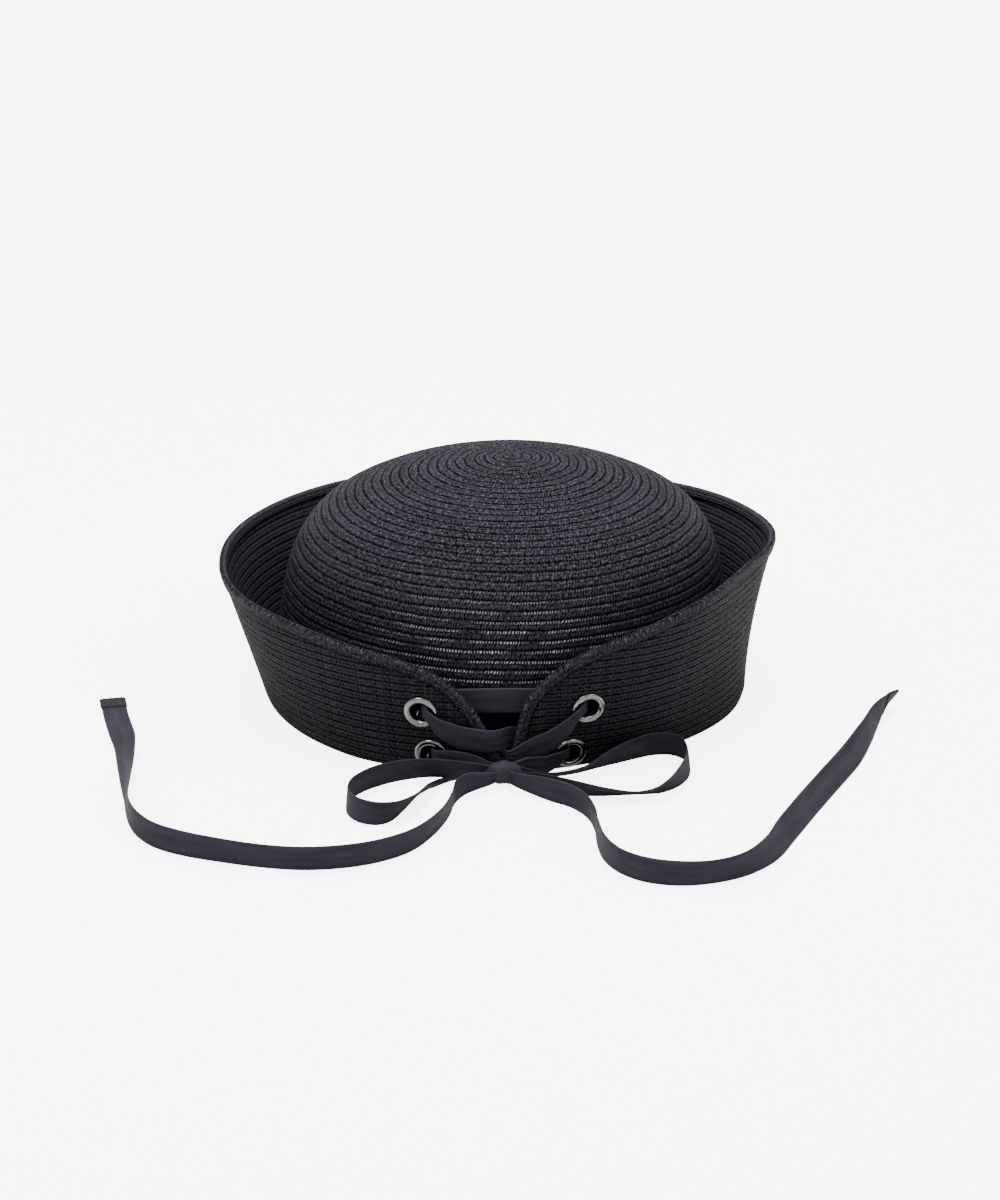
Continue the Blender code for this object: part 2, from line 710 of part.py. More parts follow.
def main():
    clear_scene()
    crown()
    brim()
    rim_binding()
    for name, azimuth, share in EYELETS:
        eyelet(name, azimuth, share)
    knot_block("bow_knot", 0.0)
    for name, rows in ROUTES.items():
        strip = ribbon(name, rows)
        if name in TIED:
            subtract(strip, knot_block("cutter", PIECE_GAP / MM))


if __name__ == "__main__":
    main()
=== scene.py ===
"""Dressed scene of a straw sailor hat: spiral braid crown, braid brim, laced and tied back.

Metres, +Z up, the laced back towards -Y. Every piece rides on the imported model's root body.
"""

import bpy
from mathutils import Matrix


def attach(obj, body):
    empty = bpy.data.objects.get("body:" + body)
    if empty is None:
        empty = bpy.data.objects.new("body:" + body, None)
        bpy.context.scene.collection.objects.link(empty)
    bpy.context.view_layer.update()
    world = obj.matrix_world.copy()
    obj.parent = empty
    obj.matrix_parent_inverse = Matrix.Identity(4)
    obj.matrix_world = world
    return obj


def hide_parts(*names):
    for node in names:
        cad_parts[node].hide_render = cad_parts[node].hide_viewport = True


bl_info = {
    "name": "Laced Straw Sailor Hat",
    "version": (1, 0, 0),
    "blender": (4, 5, 0),
    "location": "3D View > Sidebar > Sailor Hat",
    "description": "Builds a straw sailor hat with a laced, bow-tied back",
    "category": "Add Mesh",
}

import bpy
import bmesh
import numpy as np
from mathutils import Matrix, Vector

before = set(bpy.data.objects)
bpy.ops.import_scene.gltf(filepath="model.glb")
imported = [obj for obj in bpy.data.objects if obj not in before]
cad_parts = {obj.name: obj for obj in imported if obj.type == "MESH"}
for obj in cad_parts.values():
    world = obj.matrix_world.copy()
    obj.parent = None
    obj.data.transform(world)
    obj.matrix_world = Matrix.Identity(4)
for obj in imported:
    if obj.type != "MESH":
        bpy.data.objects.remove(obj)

# From the tables' centre to the middle of the hat's box
SHIFT = np.array([0.0027, -0.0045, 0.0])

# The crown stands a little off the tables' centre and leans towards +X
CROWN_CENTRE_X = -0.0028
CROWN_LEAN = 0.05

# Knot: middle and half sizes
KNOT_CENTRE = (-0.0004, -0.112, 0.0059)
KNOT_HALF_SIZE = (0.0056, 0.0039, 0.0045)

# Gaps: between two pieces, round an eyelet's barrel, under the binding, and above the floor
PIECE_GAP = 0.0003
HOLE_GAP = 0.0004
BINDING_GAP = 0.00025
FLOOR_GAP = 0.00003

# The back is divided finely this many degrees to each side, and the notch more finely still
BACK_ARC = 36.0
NOTCH_ARC = 12.0

# Braid: points across a row of the crown, its steps in one turn, shares of a row at which the
# brim has points, the brim's relief as a share of the crown's, how deep the relief starts in
# the wall, and the stretches over which it fades at the rim and at the fold
CROWN_LANES = 7
CROWN_STEPS = 320
BRIM_ROW_SHARES = (0.0, 0.14, 0.38, 0.64, 0.86)
BRIM_RELIEF = 0.62
WALL_INSET = 0.0001
RIM_FADE = 0.001
FOLD_FADE = 0.0005

# Binding: how far its two rows stand out, and how much of its thickness lies past the wall
BINDING_RIDGE = 0.00007
BINDING_FILL = 0.75

# Satin: pitch of the fine ribs, lanes across a strip, points between two rows of a route (more
# where the end is hemmed), depths of the pleats and of the cupping, unevenness of a cut end
RIB_PITCH = 0.00034
RIBBON_LANES = 13
ROUTE_POINTS = 10
HEMMED_ROUTE_POINTS = 24
PLEAT_DEPTH = 0.00028
CUP_DEPTH = 0.0001
CUT_DEPTH = 0.0003

# Knot: how far its wraps stand out of the knot's half sizes, and its middle radius
KNOT_PUFF = (1.32, 1.05, 0.98)
KNOT_RADIUS = 0.0042

# Eyelets: steps round one, and rounding of its edges
EYELET_STEPS = 72
EYELET_ROUNDING = 0.0001

# Stage: half the floor's width, what the camera looks at, and the lights with their place,
# target, width and watts
FLOOR_EDGE = 6.0
CAMERA_TARGET = (0.0006, -0.0045, 0.0366)
LIGHTS = [
    ("key_light", (-0.7, -0.6, 1.5), (0.0, 0.0, 0.03), 0.8, 24.0),
    ("fill_light", (0.9, -0.5, 1.2), (0.0, 0.0, 0.03), 0.8, 7.0),
    ("top_light", (0.0, 0.3, 1.8), (0.0, 0.0, 0.05), 1.0, 62.0),
]
WHITE = (1.0, 1.0, 1.0, 1.0)

TAU = 6.283185307
UPRIGHT = np.array([0.0, 0.0, 1.0])

# Crown outline: radius as a share of the crown's radius, height as a share of its height
CROWN_OUTLINE = [
    (0.0, 1.0),
    (0.239, 0.975),
    (0.473, 0.926),
    (0.674, 0.86),
    (0.826, 0.775),
    (0.929, 0.646),
    (0.985, 0.465),
    (1.0, 0.248),
    (0.996, 0.032),
]

# Brim: azimuth from the laced back towards +X in degrees, radius at the fold as a share of the
# fold's radius, flare at the rim as a share of the brim's flare, and the power of that flare
BRIM = [
    (-180.0, 1.0, 1.0, 1.2),
    (-140.0, 1.0, 1.172, 1.15),
    (-115.0, 1.002, 1.159, 1.1),
    (-90.0, 1.006, 1.172, 1.05),
    (-66.0, 1.009, 1.228, 1.0),
    (-46.0, 1.025, 0.897, 0.95),
    (-33.0, 1.038, 0.683, 0.9),
    (-22.0, 1.028, 0.634, 0.85),
    (-13.7, 1.02, 0.593, 0.85),
    (0.0, 1.004, 0.6, 0.85),
    (10.0, 0.989, 0.69, 0.85),
    (20.0, 0.973, 0.869, 0.85),
    (28.0, 0.968, 1.0, 0.9),
    (37.0, 0.973, 0.986, 1.0),
    (46.0, 0.983, 0.814, 1.15),
    (55.0, 0.99, 0.6, 1.3),
    (66.0, 0.999, 0.441, 1.5),
    (78.0, 1.002, 0.503, 1.65),
    (90.0, 1.003, 0.634, 1.7),
    (101.0, 1.003, 0.8, 1.6),
    (126.0, 1.001, 0.945, 1.4),
    (180.0, 1.0, 1.0, 1.2),
]

# Rim: azimuth, height as a share of the brim's height
RIM = [
    (-180.0, 1.0),
    (-140.0, 1.005),
    (-90.0, 0.991),
    (-66.0, 0.974),
    (-46.0, 0.934),
    (-33.0, 0.883),
    (-22.0, 0.826),
    (-17.5, 0.779),
    (-13.7, 0.717),
    (-10.6, 0.633),
    (-7.5, 0.508),
    (-5.4, 0.391),
    (-4.4, 0.323),
    (-3.5, 0.252),
    (-2.7, 0.19),
    (-1.8, 0.134),
    (-0.9, 0.108),
    (0.0, 0.104),
    (0.8, 0.113),
    (1.5, 0.144),
    (2.1, 0.202),
    (2.7, 0.296),
    (3.3, 0.393),
    (4.1, 0.487),
    (5.2, 0.569),
    (7.3, 0.661),
    (11.5, 0.783),
    (15.5, 0.866),
    (20.0, 0.927),
    (28.0, 1.009),
    (37.0, 1.096),
    (46.0, 1.139),
    (60.0, 1.169),
    (78.0, 1.148),
    (90.0, 1.113),
    (101.0, 1.075),
    (126.0, 1.04),
    (150.0, 1.005),
    (180.0, 1.0),
]

# Eyelets: name, azimuth in degrees, height as a share of the brim's height
EYELETS = [
    ("eyelet_upper_left", -18.1, 0.473),
    ("eyelet_upper_right", 18.2, 0.483),
    ("eyelet_lower_left", -16.4, 0.151),
    ("eyelet_lower_right", 14.8, 0.139),
]

# Ribbon routes: x, y, height of the lower edge, lean of the upper edge to the left of travel in
# degrees, gather (1 is the full width)
ROUTES = {
    "lace_inner_bar": [
        (-0.032, -0.0983, 0.0243, 0, 0.6),
        (-0.0275, -0.0967, 0.0238, 0, 0.75),
        (-0.02, -0.0959, 0.0238, 0, 1.0),
        (-0.01, -0.095, 0.024, 0, 1.0),
        (0, -0.0947, 0.0241, 0, 1.0),
        (0.012, -0.0946, 0.024, 0, 1.0),
        (0.02, -0.0945, 0.0238, 0, 1.0),
        (0.027, -0.0945, 0.0242, 0, 0.75),
        (0.0312, -0.0954, 0.025, 0, 0.6),
    ],
    "lace_upper_left": [
        (-0.0328, -0.0998, 0.0246, 0, 0.54),
        (-0.0317, -0.1026, 0.0244, -5, 0.54),
        (-0.0296, -0.105, 0.0222, -9, 0.62),
        (-0.0262, -0.1055, 0.018, -9, 0.8),
        (-0.022, -0.1057, 0.0149, -9, 0.95),
        (-0.0165, -0.1055, 0.0125, -9, 1.0),
        (-0.01, -0.1049, 0.0112, -9, 1.0),
        (-0.006, -0.1046, 0.0112, -7, 0.93),
        (-0.0028, -0.1031, 0.0113, -3, 0.88),
        (0.0004, -0.1, 0.0113, 0, 0.85),
        (0.0034, -0.0973, 0.0108, 0, 0.82),
        (0.007, -0.0959, 0.0096, 0, 0.78),
        (0.0125, -0.0944, 0.0074, 0, 0.72),
        (0.0185, -0.0932, 0.0058, 0, 0.65),
        (0.024, -0.0925, 0.0052, 0, 0.6),
    ],
    "lace_upper_right": [
        (0.032, -0.0968, 0.0252, 0, 0.54),
        (0.0309, -0.0998, 0.0249, 5, 0.54),
        (0.0288, -0.102, 0.0226, 9, 0.62),
        (0.0254, -0.1027, 0.0178, 9, 0.8),
        (0.021, -0.1033, 0.0132, 9, 0.95),
        (0.016, -0.1036, 0.0096, 9, 1.0),
        (0.011, -0.1036, 0.0082, 9, 0.92),
        (0.007, -0.1041, 0.0077, 9, 0.75),
        (0.0034, -0.104, 0.0075, 5, 0.5),
        (0.0006, -0.1024, 0.0076, 0, 0.33),
        (-0.0006, -0.0994, 0.0078, 0, 0.3),
        (-0.0042, -0.097, 0.0072, 0, 0.42),
        (-0.012, -0.0962, 0.0058, 0, 0.58),
        (-0.02, -0.0959, 0.0056, 0, 0.6),
        (-0.027, -0.0959, 0.006, 0, 0.56),
    ],
    "lace_lower_left": [
        (-0.0289, -0.0977, 0.0061, -6, 0.54),
        (-0.0283, -0.1008, 0.0059, -10, 0.54),
        (-0.0264, -0.1032, 0.0049, -10, 0.66),
        (-0.0225, -0.1042, 0.0033, 0, 0.84),
        (-0.016, -0.1054, 0.0026, 0, 0.87),
        (-0.0105, -0.1072, 0.0026, 0, 0.78),
        (-0.0069, -0.1094, 0.0032, 0, 0.62),
        (-0.0032, -0.1109, 0.0036, 0, 0.55),
    ],
    "lace_lower_right": [
        (0.0252, -0.0947, 0.0054, 8, 0.54),
        (0.0246, -0.0978, 0.0052, 12, 0.54),
        (0.0226, -0.1003, 0.0042, 14, 0.62),
        (0.019, -0.1022, 0.0024, 10, 0.75),
        (0.0156, -0.1039, 0.0016, 0, 0.75),
        (0.012, -0.106, 0.0018, 0, 0.8),
        (0.0084, -0.1074, 0.0026, 0, 0.75),
        (0.0056, -0.1088, 0.0034, 0, 0.62),
        (0.0026, -0.1104, 0.0038, 0, 0.55),
    ],
    "bow_loop_left": [
        (-0.003, -0.1122, 0.0026, 8, 0.6),
        (-0.0068, -0.1116, 0.002, 10, 0.7),
        (-0.012, -0.1114, 0.0018, 20, 0.88),
        (-0.02, -0.1102, 0.0018, 24, 0.98),
        (-0.031, -0.1093, 0.0018, 22, 1.0),
        (-0.041, -0.1094, 0.0006, 15, 1.0),
        (-0.049, -0.113, 0.00005, 11, 1.0),
        (-0.055, -0.119, 0.00005, 10, 1.0),
        (-0.0593, -0.1264, 0.00005, 8, 1.0),
        (-0.0608, -0.134, 0.00005, 5, 1.0),
        (-0.0596, -0.1415, 0.00005, 3, 1.0),
        (-0.0552, -0.148, 0.00005, 0, 1.0),
        (-0.0483, -0.1508, 0.00005, -8, 1.0),
        (-0.042, -0.1476, 0.00005, -22, 1.0),
        (-0.0373, -0.1396, 0.00005, -33, 1.0),
        (-0.0336, -0.129, 0.00005, -42, 0.9),
        (-0.0302, -0.1185, 0.00005, -66, 0.66),
        (-0.0262, -0.1096, 0.00005, -86, 0.5),
        (-0.019, -0.1044, 0.00005, -86, 0.45),
        (-0.0105, -0.1044, 0.00005, -86, 0.45),
        (-0.005, -0.1048, 0.0002, -80, 0.45),
        (-0.0016, -0.107, 0.001, -60, 0.45),
        (-0.0002, -0.1104, 0.0026, -40, 0.45),
    ],
    "bow_loop_right": [
        (0.0026, -0.1122, 0.0028, -12, 0.58),
        (0.0064, -0.112, 0.0023, -25, 0.65),
        (0.011, -0.1114, 0.0014, -45, 0.78),
        (0.0165, -0.11, 0.0009, -56, 0.9),
        (0.024, -0.1075, 0.0006, -56, 1.0),
        (0.0305, -0.1034, 0.0003, -50, 1.0),
        (0.037, -0.0972, 0.0001, -35, 1.0),
        (0.0438, -0.0914, 0.00005, -22, 1.0),
        (0.0508, -0.0859, 0.00005, -12, 1.0),
        (0.058, -0.0814, 0.00005, -8, 1.0),
        (0.065, -0.0806, 0.00005, -8, 1.0),
        (0.0702, -0.0852, 0.00005, -8, 1.0),
        (0.0722, -0.094, 0.00005, -8, 1.0),
        (0.0712, -0.104, 0.00005, -5, 1.0),
        (0.0676, -0.1135, 0.00005, 8, 1.0),
        (0.0626, -0.1208, 0.00005, 30, 1.0),
        (0.0573, -0.1242, 0.00005, 52, 1.0),
        (0.051, -0.1254, 0.00005, 60, 1.0),
        (0.044, -0.126, 0.00005, 55, 1.0),
        (0.0365, -0.126, 0.00005, 45, 1.0),
        (0.0285, -0.1246, 0.00005, 34, 1.0),
        (0.02, -0.121, 0.0001, 26, 0.95),
        (0.012, -0.1168, 0.0006, 20, 0.8),
        (0.0072, -0.1148, 0.0012, 15, 0.65),
        (0.0028, -0.1138, 0.002, 8, 0.56),
    ],
    "ribbon_tail_left": [
        (-0.0024, -0.1136, 0.0022, 15, 0.58),
        (-0.0052, -0.1156, 0.0013, 20, 0.68),
        (-0.0096, -0.118, 0.0005, 20, 0.85),
        (-0.015, -0.1222, 0.0001, 12, 1.0),
        (-0.0192, -0.1302, 0.00005, 4, 1.0),
        (-0.021, -0.1425, 0.00005, 6, 1.0),
        (-0.025, -0.157, 0.00005, 10, 1.0),
        (-0.032, -0.1715, 0.00005, 9, 1.0),
        (-0.0396, -0.1804, 0.00005, 8, 1.0),
        (-0.0505, -0.1875, 0.00005, 8, 1.0),
        (-0.0632, -0.1916, 0.00005, 8, 1.0),
        (-0.0765, -0.1927, 0.00005, 8, 1.0),
        (-0.091, -0.1904, 0.00005, 8, 1.0),
        (-0.106, -0.1854, 0.00005, 5, 1.0),
        (-0.1205, -0.179, 0.00005, 0, 1.0),
        (-0.1315, -0.1714, 0.00005, -2, 1.0),
        (-0.1386, -0.1616, 0.00005, -3, 1.0),
        (-0.1427, -0.151, 0.00005, -3, 1.0),
        (-0.1449, -0.1395, 0.00005, -6, 1.0),
        (-0.146, -0.1265, 0.00005, -16, 1.0),
        (-0.1476, -0.111, 0.00005, -31, 1.0),
        (-0.1497, -0.0925, 0.00005, -45, 1.0),
        (-0.152, -0.074, 0.00005, -57, 1.0),
        (-0.1553, -0.057, 0.00005, -76, 1.0),
        (-0.1589, -0.039, 0.00005, -88, 1.0),
        (-0.1622, -0.0205, 0.00005, -89, 1.0),
    ],
    "ribbon_tail_right": [
        (0.001, -0.114, 0.0022, -12, 0.58),
        (0.004, -0.1168, 0.0013, -15, 0.68),
        (0.009, -0.1208, 0.0005, -12, 0.85),
        (0.0165, -0.1273, 0.0001, -8, 1.0),
        (0.025, -0.1338, 0.00005, -5, 1.0),
        (0.031, -0.1436, 0.00005, -3, 1.0),
        (0.0338, -0.156, 0.00005, 0, 1.0),
        (0.0346, -0.1695, 0.00005, 3, 1.0),
        (0.0368, -0.1833, 0.00005, 3, 1.0),
        (0.0424, -0.195, 0.00005, 0, 1.0),
        (0.0518, -0.203, 0.00005, 0, 1.0),
        (0.064, -0.2062, 0.00005, -3, 1.0),
        (0.077, -0.2043, 0.00005, -8, 1.0),
        (0.089, -0.1969, 0.00005, 0, 1.0),
        (0.0988, -0.1829, 0.00005, 25, 1.0),
        (0.1066, -0.1616, 0.00005, 45, 1.0),
        (0.1158, -0.1383, 0.00005, 50, 1.0),
        (0.1258, -0.1147, 0.00005, 50, 1.0),
        (0.1364, -0.0905, 0.00005, 43, 1.0),
        (0.1445, -0.0685, 0.00005, 24, 1.0),
        (0.1496, -0.052, 0.00005, 12, 1.0),
        (0.1542, -0.0405, 0.00005, -8, 1.0),
        (0.1586, -0.0295, 0.00005, -36, 1.0),
    ],
}

# Ribbon strips that end in a folded hem, and the strips that are free cords: far end, and what
# the strip leaves
HEMMED = ("ribbon_tail_left", "ribbon_tail_right")
CORDS = {
    "ribbon_tail_left": "bare",
    "ribbon_tail_right": "bare",
    "bow_loop_left": "object",
    "bow_loop_right": "object",
}


def size(name, default, description):
    """A length property in metres."""
    return bpy.props.FloatProperty(
        name=name, default=default, description=description, min=0.0,
        precision=5, subtype="DISTANCE", unit="LENGTH",
    )


def colour(name, default, description):
    """A colour property."""
    return bpy.props.FloatVectorProperty(
        name=name, default=default, description=description, size=3,
        min=0.0, max=1.0, subtype="COLOR",
    )


class StrawSettings(bpy.types.PropertyGroup):
    """Sizes and colours of the braided straw."""

    crown_height: size("Crown Height", 0.0995, "Height of the crown's top above the table")
    crown_radius: size("Crown Radius", 0.092, "Radius of the crown's wall")
    brim_height: size("Brim Height", 0.0575, "Height of the rim at the front")
    seat_width: size("Brim Seat Width", 0.007, "Gap from the crown's wall to the brim's fold")
    brim_flare: size("Brim Flare", 0.0145, "How far the rim stands out past the fold at the front")
    fold_height: size("Fold Height", 0.0024, "Height at which the brim's wall starts")
    seam_height: size("Seam Height", 0.0031, "Height of the crown's lower edge")
    thickness: size("Straw Thickness", 0.0014, "Thickness of one layer of braid")
    crown_pitch: size("Crown Row Pitch", 0.0039, "Width of one row of braid on the crown")
    brim_pitch: size("Brim Row Pitch", 0.0033, "Width of one row of braid on the brim")
    relief: size("Row Relief", 0.0004, "How far a row of braid stands out in its middle")
    sway: size("Row Sway", 0.0014, "How far the hand-sewn rows wander from an even spiral")
    binding_depth: size("Binding Depth", 0.0036, "How far the rim binding reaches down")
    binding_thickness: size("Binding Thickness", 0.0006, "Thickness of the rim binding")
    tooth: size("Braid Tooth", 0.0012, "Length of one crossing of the braid along a row")
    straw_colour: colour("Straw", (0.0058, 0.0054, 0.0071), "Colour of the straw")
    binding_colour: colour("Binding", (0.0052, 0.0049, 0.0065), "Colour of the rim binding")


class EyeletSettings(bpy.types.PropertyGroup):
    """Sizes and colour of the metal eyelets."""

    outer: size("Flange Radius", 0.0067, "Outer radius of the flange")
    hole: size("Hole Radius", 0.0039, "Radius of the hole")
    barrel: size("Barrel Wall", 0.0004, "Wall of the barrel")
    rise: size("Flange Rise", 0.00095, "How far the flange stands up")
    washer: size("Washer Thickness", 0.00055, "Thickness of the washer inside the brim")
    gap: size("Gap", 0.0003, "Gap between the straw and the metal")
    metal_colour: colour("Gunmetal", (0.17, 0.17, 0.175), "Colour of the polished metal")


class RibbonSettings(bpy.types.PropertyGroup):
    """Sizes and colour of the satin ribbon."""

    width: size("Ribbon Width", 0.0103, "Width of the ribbon")
    thickness: size("Ribbon Thickness", 0.0005, "Thickness of the ribbon")
    lie: size("Lie", 0.0008, "Thickness that the ribbon's route was laid with")
    hem: size("Hem", 0.0098, "Length of the folded hem at the tails' ends")
    stitch: size("Stitch", 0.0013, "Length of one hem stitch")
    thread: size("Thread", 0.00022, "Thickness of the stitching thread")
    satin_colour: colour("Satin", (0.0188, 0.0178, 0.0243), "Colour of the ribbon")
    thread_colour: colour("Thread", (0.016, 0.016, 0.020), "Colour of the stitching thread")


class StageSettings(bpy.types.PropertyGroup):
    """The floor, the light and the camera."""

    floor_colour: colour("Floor", (0.90, 0.90, 0.90), "Colour of the floor")
    floor_glow: bpy.props.FloatProperty(
        name="Floor Glow", default=5.0, min=0.0, max=20.0,
        description="How much paler than lit card the floor looks",
    )
    distance: size("Camera Distance", 1.55, "From the camera to the point that it looks at")
    elevation: bpy.props.FloatProperty(
        name="Camera Elevation", default=20.0, min=1.0, max=89.0,
        description="Height of the camera above the horizon, in degrees",
    )
    lens: bpy.props.FloatProperty(
        name="Lens", default=112.07, min=10.0, max=400.0,
        description="Focal length in millimetres on a 36 mm sensor",
    )


def column(table, index, at):
    """A smooth value from one column of a table against its first column."""
    xs = np.array([row[0] for row in table])
    ys = np.array([row[index] for row in table])
    slopes = np.gradient(ys, xs)
    at = np.clip(np.asarray(at, float), xs[0], xs[-1])
    k = np.clip(np.searchsorted(xs, at, side="right") - 1, 0, len(xs) - 2)
    h = xs[k + 1] - xs[k]
    t = (at - xs[k]) / h
    a = (1 + 2 * t) * (1 - t) ** 2 * ys[k] + t * t * (3 - 2 * t) * ys[k + 1]
    b = t * (1 - t) ** 2 * h * slopes[k] + t * t * (t - 1) * h * slopes[k + 1]
    return a + b


def unit(v):
    v = np.asarray(v, float)
    return v / np.maximum(np.linalg.norm(v, axis=-1, keepdims=True), 1e-12)


def catmull(points, per_segment):
    """Points along a smooth curve through the given rows."""
    p = np.array(points, float)
    p = np.vstack([2 * p[0] - p[1], p, 2 * p[-1] - p[-2]])
    out = []
    for i in range(1, len(p) - 2):
        t = (np.arange(per_segment) / per_segment)[:, None]
        a = 2 * p[i]
        b = (p[i + 1] - p[i - 1]) * t
        c = (2 * p[i - 1] - 5 * p[i] + 4 * p[i + 1] - p[i + 2]) * t * t
        d = (3 * p[i] - p[i - 1] - 3 * p[i + 1] + p[i + 2]) * t ** 3
        out.append((a + b + c + d) / 2)
    out.append(p[-2][None])
    return np.vstack(out)


def run_along(points):
    """The length of a line of points up to each one."""
    return np.concatenate([[0.0], np.cumsum(np.linalg.norm(np.diff(points, axis=0), axis=1))])


def azimuths(*spans):
    """Azimuths round the hat, from spans of start, end and step."""
    return np.concatenate([np.arange(*span) for span in spans])


def polar(radius, a, z):
    """Points at an azimuth in radians from the laced back towards +X."""
    return np.stack([radius * np.sin(a), -radius * np.cos(a), z], axis=-1)


def wrap(azimuth):
    return (np.asarray(azimuth, float) + 180.0) % 360.0 - 180.0


def rim_height(azimuth):
    return column(RIM, 1, wrap(azimuth)) * bpy.context.scene.hat_straw.brim_height


def fold_radius(azimuth):
    straw = bpy.context.scene.hat_straw
    return column(BRIM, 1, wrap(azimuth)) * (straw.crown_radius + straw.seat_width)


def brim_point(azimuth, height):
    """A point on the middle of the brim's wall, above its fold."""
    straw = bpy.context.scene.hat_straw
    azimuth = wrap(azimuth)
    share = np.maximum(height - straw.fold_height, 0.0) / (straw.brim_height - straw.fold_height)
    flare = column(BRIM, 2, azimuth) * straw.brim_flare * share ** column(BRIM, 3, azimuth)
    radius = fold_radius(azimuth) + flare
    return polar(radius, np.radians(azimuth), height + 0 * radius)


def brim_normal(azimuth, height):
    """The outward direction of the brim's wall at a point."""
    along = brim_point(azimuth + 0.5, height) - brim_point(azimuth - 0.5, height)
    upward = brim_point(azimuth, height + 0.0008) - brim_point(azimuth, height - 0.0008)
    return unit(np.cross(along, upward))


def eyelet_frame(azimuth, share):
    """Centre, outward axis and two crosswise directions of an eyelet on the brim."""
    height = share * bpy.context.scene.hat_straw.brim_height
    centre = brim_point(azimuth, height)
    along = brim_point(azimuth + 2.0, height) - brim_point(azimuth - 2.0, height)
    upward = brim_point(azimuth, height + 0.002) - brim_point(azimuth, height - 0.002)
    axis = unit(np.cross(along, upward))
    side = unit(along - np.dot(along, axis) * axis)
    return centre, axis, side, np.cross(axis, side)


def grid_faces(rows, columns, close_rows=False, close_columns=False):
    """Quads of a grid whose vertex number is row * columns + column."""
    r = np.arange(rows if close_rows else rows - 1)
    c = np.arange(columns if close_columns else columns - 1)
    r, c = [g.ravel() for g in np.meshgrid(r, c, indexing="ij")]
    r2 = (r + 1) % rows
    c2 = (c + 1) % columns
    return np.stack([r * columns + c, r2 * columns + c, r2 * columns + c2, r * columns + c2], 1)


def grid_uvs(faces, u, v, lap=0.0):
    """Corner UVs of a grid; where its rows close, u runs on by the whole lap."""
    uvs = np.stack([u[faces], v[faces]], -1)
    closing = faces[:, 1] < faces[:, 0]
    uvs[closing, 1:3, 0] += lap
    return uvs


def new_object(name, data):
    """An object at the origin, in the scene."""
    thing = bpy.data.objects.new(name, data)
    bpy.context.scene.collection.objects.link(thing)
    return thing


def make_mesh(name, points, faces, material, uvs=None, weld=2e-6):
    """A smooth mesh piece from points in the tables' place, welded, without stray faces."""
    points = np.asarray(points, float) + SHIFT
    faces = np.asarray(faces)
    keys = np.round(points / weld).astype(np.int64)
    _, first, inverse = np.unique(keys, axis=0, return_index=True, return_inverse=True)
    inverse = inverse.ravel()
    merged = inverse[faces]
    out_faces = []
    out_uvs = []
    for k, corners in enumerate(merged):
        keep = [j for j in range(len(corners)) if corners[j] != corners[j - 1]]
        if len(keep) < 3 or len(set(corners[keep])) < len(keep):
            continue
        out_faces.append([int(corners[j]) for j in keep])
        if uvs is not None:
            out_uvs.extend(uvs[k][j] for j in keep)
    mesh = bpy.data.meshes.new(name)
    mesh.from_pydata(points[first], [], out_faces)
    if uvs is not None:
        layer = mesh.uv_layers.new(name="braid")
        layer.data.foreach_set("uv", np.asarray(out_uvs, np.float32).ravel())
    return finish_mesh(name, mesh, material)


def finish_mesh(name, mesh, material):
    """Clean a mesh, point its faces outwards and put it in the scene."""
    bm = bmesh.new()
    bm.from_mesh(mesh)
    loose = [v for v in bm.verts if not v.link_faces]
    bmesh.ops.delete(bm, geom=loose, context="VERTS")
    bmesh.ops.recalc_face_normals(bm, faces=bm.faces)
    bm.to_mesh(mesh)
    bm.free()
    mesh.materials.clear()
    mesh.materials.append(material)
    mesh.polygons.foreach_set("use_smooth", [True] * len(mesh.polygons))
    mesh.update()
    return new_object(name, mesh)


def fit(piece, slot, *nodes):
    """Let a piece stand for its CAD nodes, on the hat's body. The slot is not used."""
    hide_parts(*nodes)
    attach(piece, "root")


# Node trees

class Field:
    """A node's output. Arithmetic with it adds math nodes to its tree."""

    def __init__(self, socket):
        self.socket = socket
        self.tree = socket.id_data

    def math(self, operation, *others):
        return calc(self.tree, operation, self, *others)

    def __add__(self, other):
        return self.math("ADD", other)

    def __sub__(self, other):
        return self.math("SUBTRACT", other)

    def __rsub__(self, other):
        return calc(self.tree, "SUBTRACT", other, self)

    def __mul__(self, other):
        return self.math("MULTIPLY", other)

    def __truediv__(self, other):
        return self.math("DIVIDE", other)


def plug(socket, value):
    """Link a socket to a field, or set its value."""
    if isinstance(value, Field):
        value.tree.links.new(value.socket, socket)
    else:
        socket.default_value = value


def plug_all(node, inputs):
    for key, value in inputs.items():
        plug(node.inputs[key], value)


def add(tree, kind, inputs=None, **settings):
    """A node with its settings and inputs."""
    node = tree.nodes.new(kind)
    for key, value in settings.items():
        setattr(node, key, value)
    plug_all(node, inputs or {})
    return node


def field(tree, kind, inputs=None, output=0, **settings):
    """One output of a new node."""
    return Field(add(tree, kind, inputs, **settings).outputs[output])


def calc(tree, operation, *values):
    """A math node's result."""
    return field(tree, "ShaderNodeMath", dict(enumerate(values)), operation=operation)


def split(vector):
    """The three parts of a vector."""
    node = add(vector.tree, "ShaderNodeSeparateXYZ", {0: vector})
    return [Field(socket) for socket in node.outputs]


def combine(x, y, z=0.0):
    """A vector of three parts, of which the first is a field."""
    return field(x.tree, "ShaderNodeCombineXYZ", {0: x, 1: y, 2: z})


def noise(vector, scale=1.0, detail=2.0):
    return field(vector.tree, "ShaderNodeTexNoise",
                 {"Vector": vector, "Scale": scale, "Detail": detail})


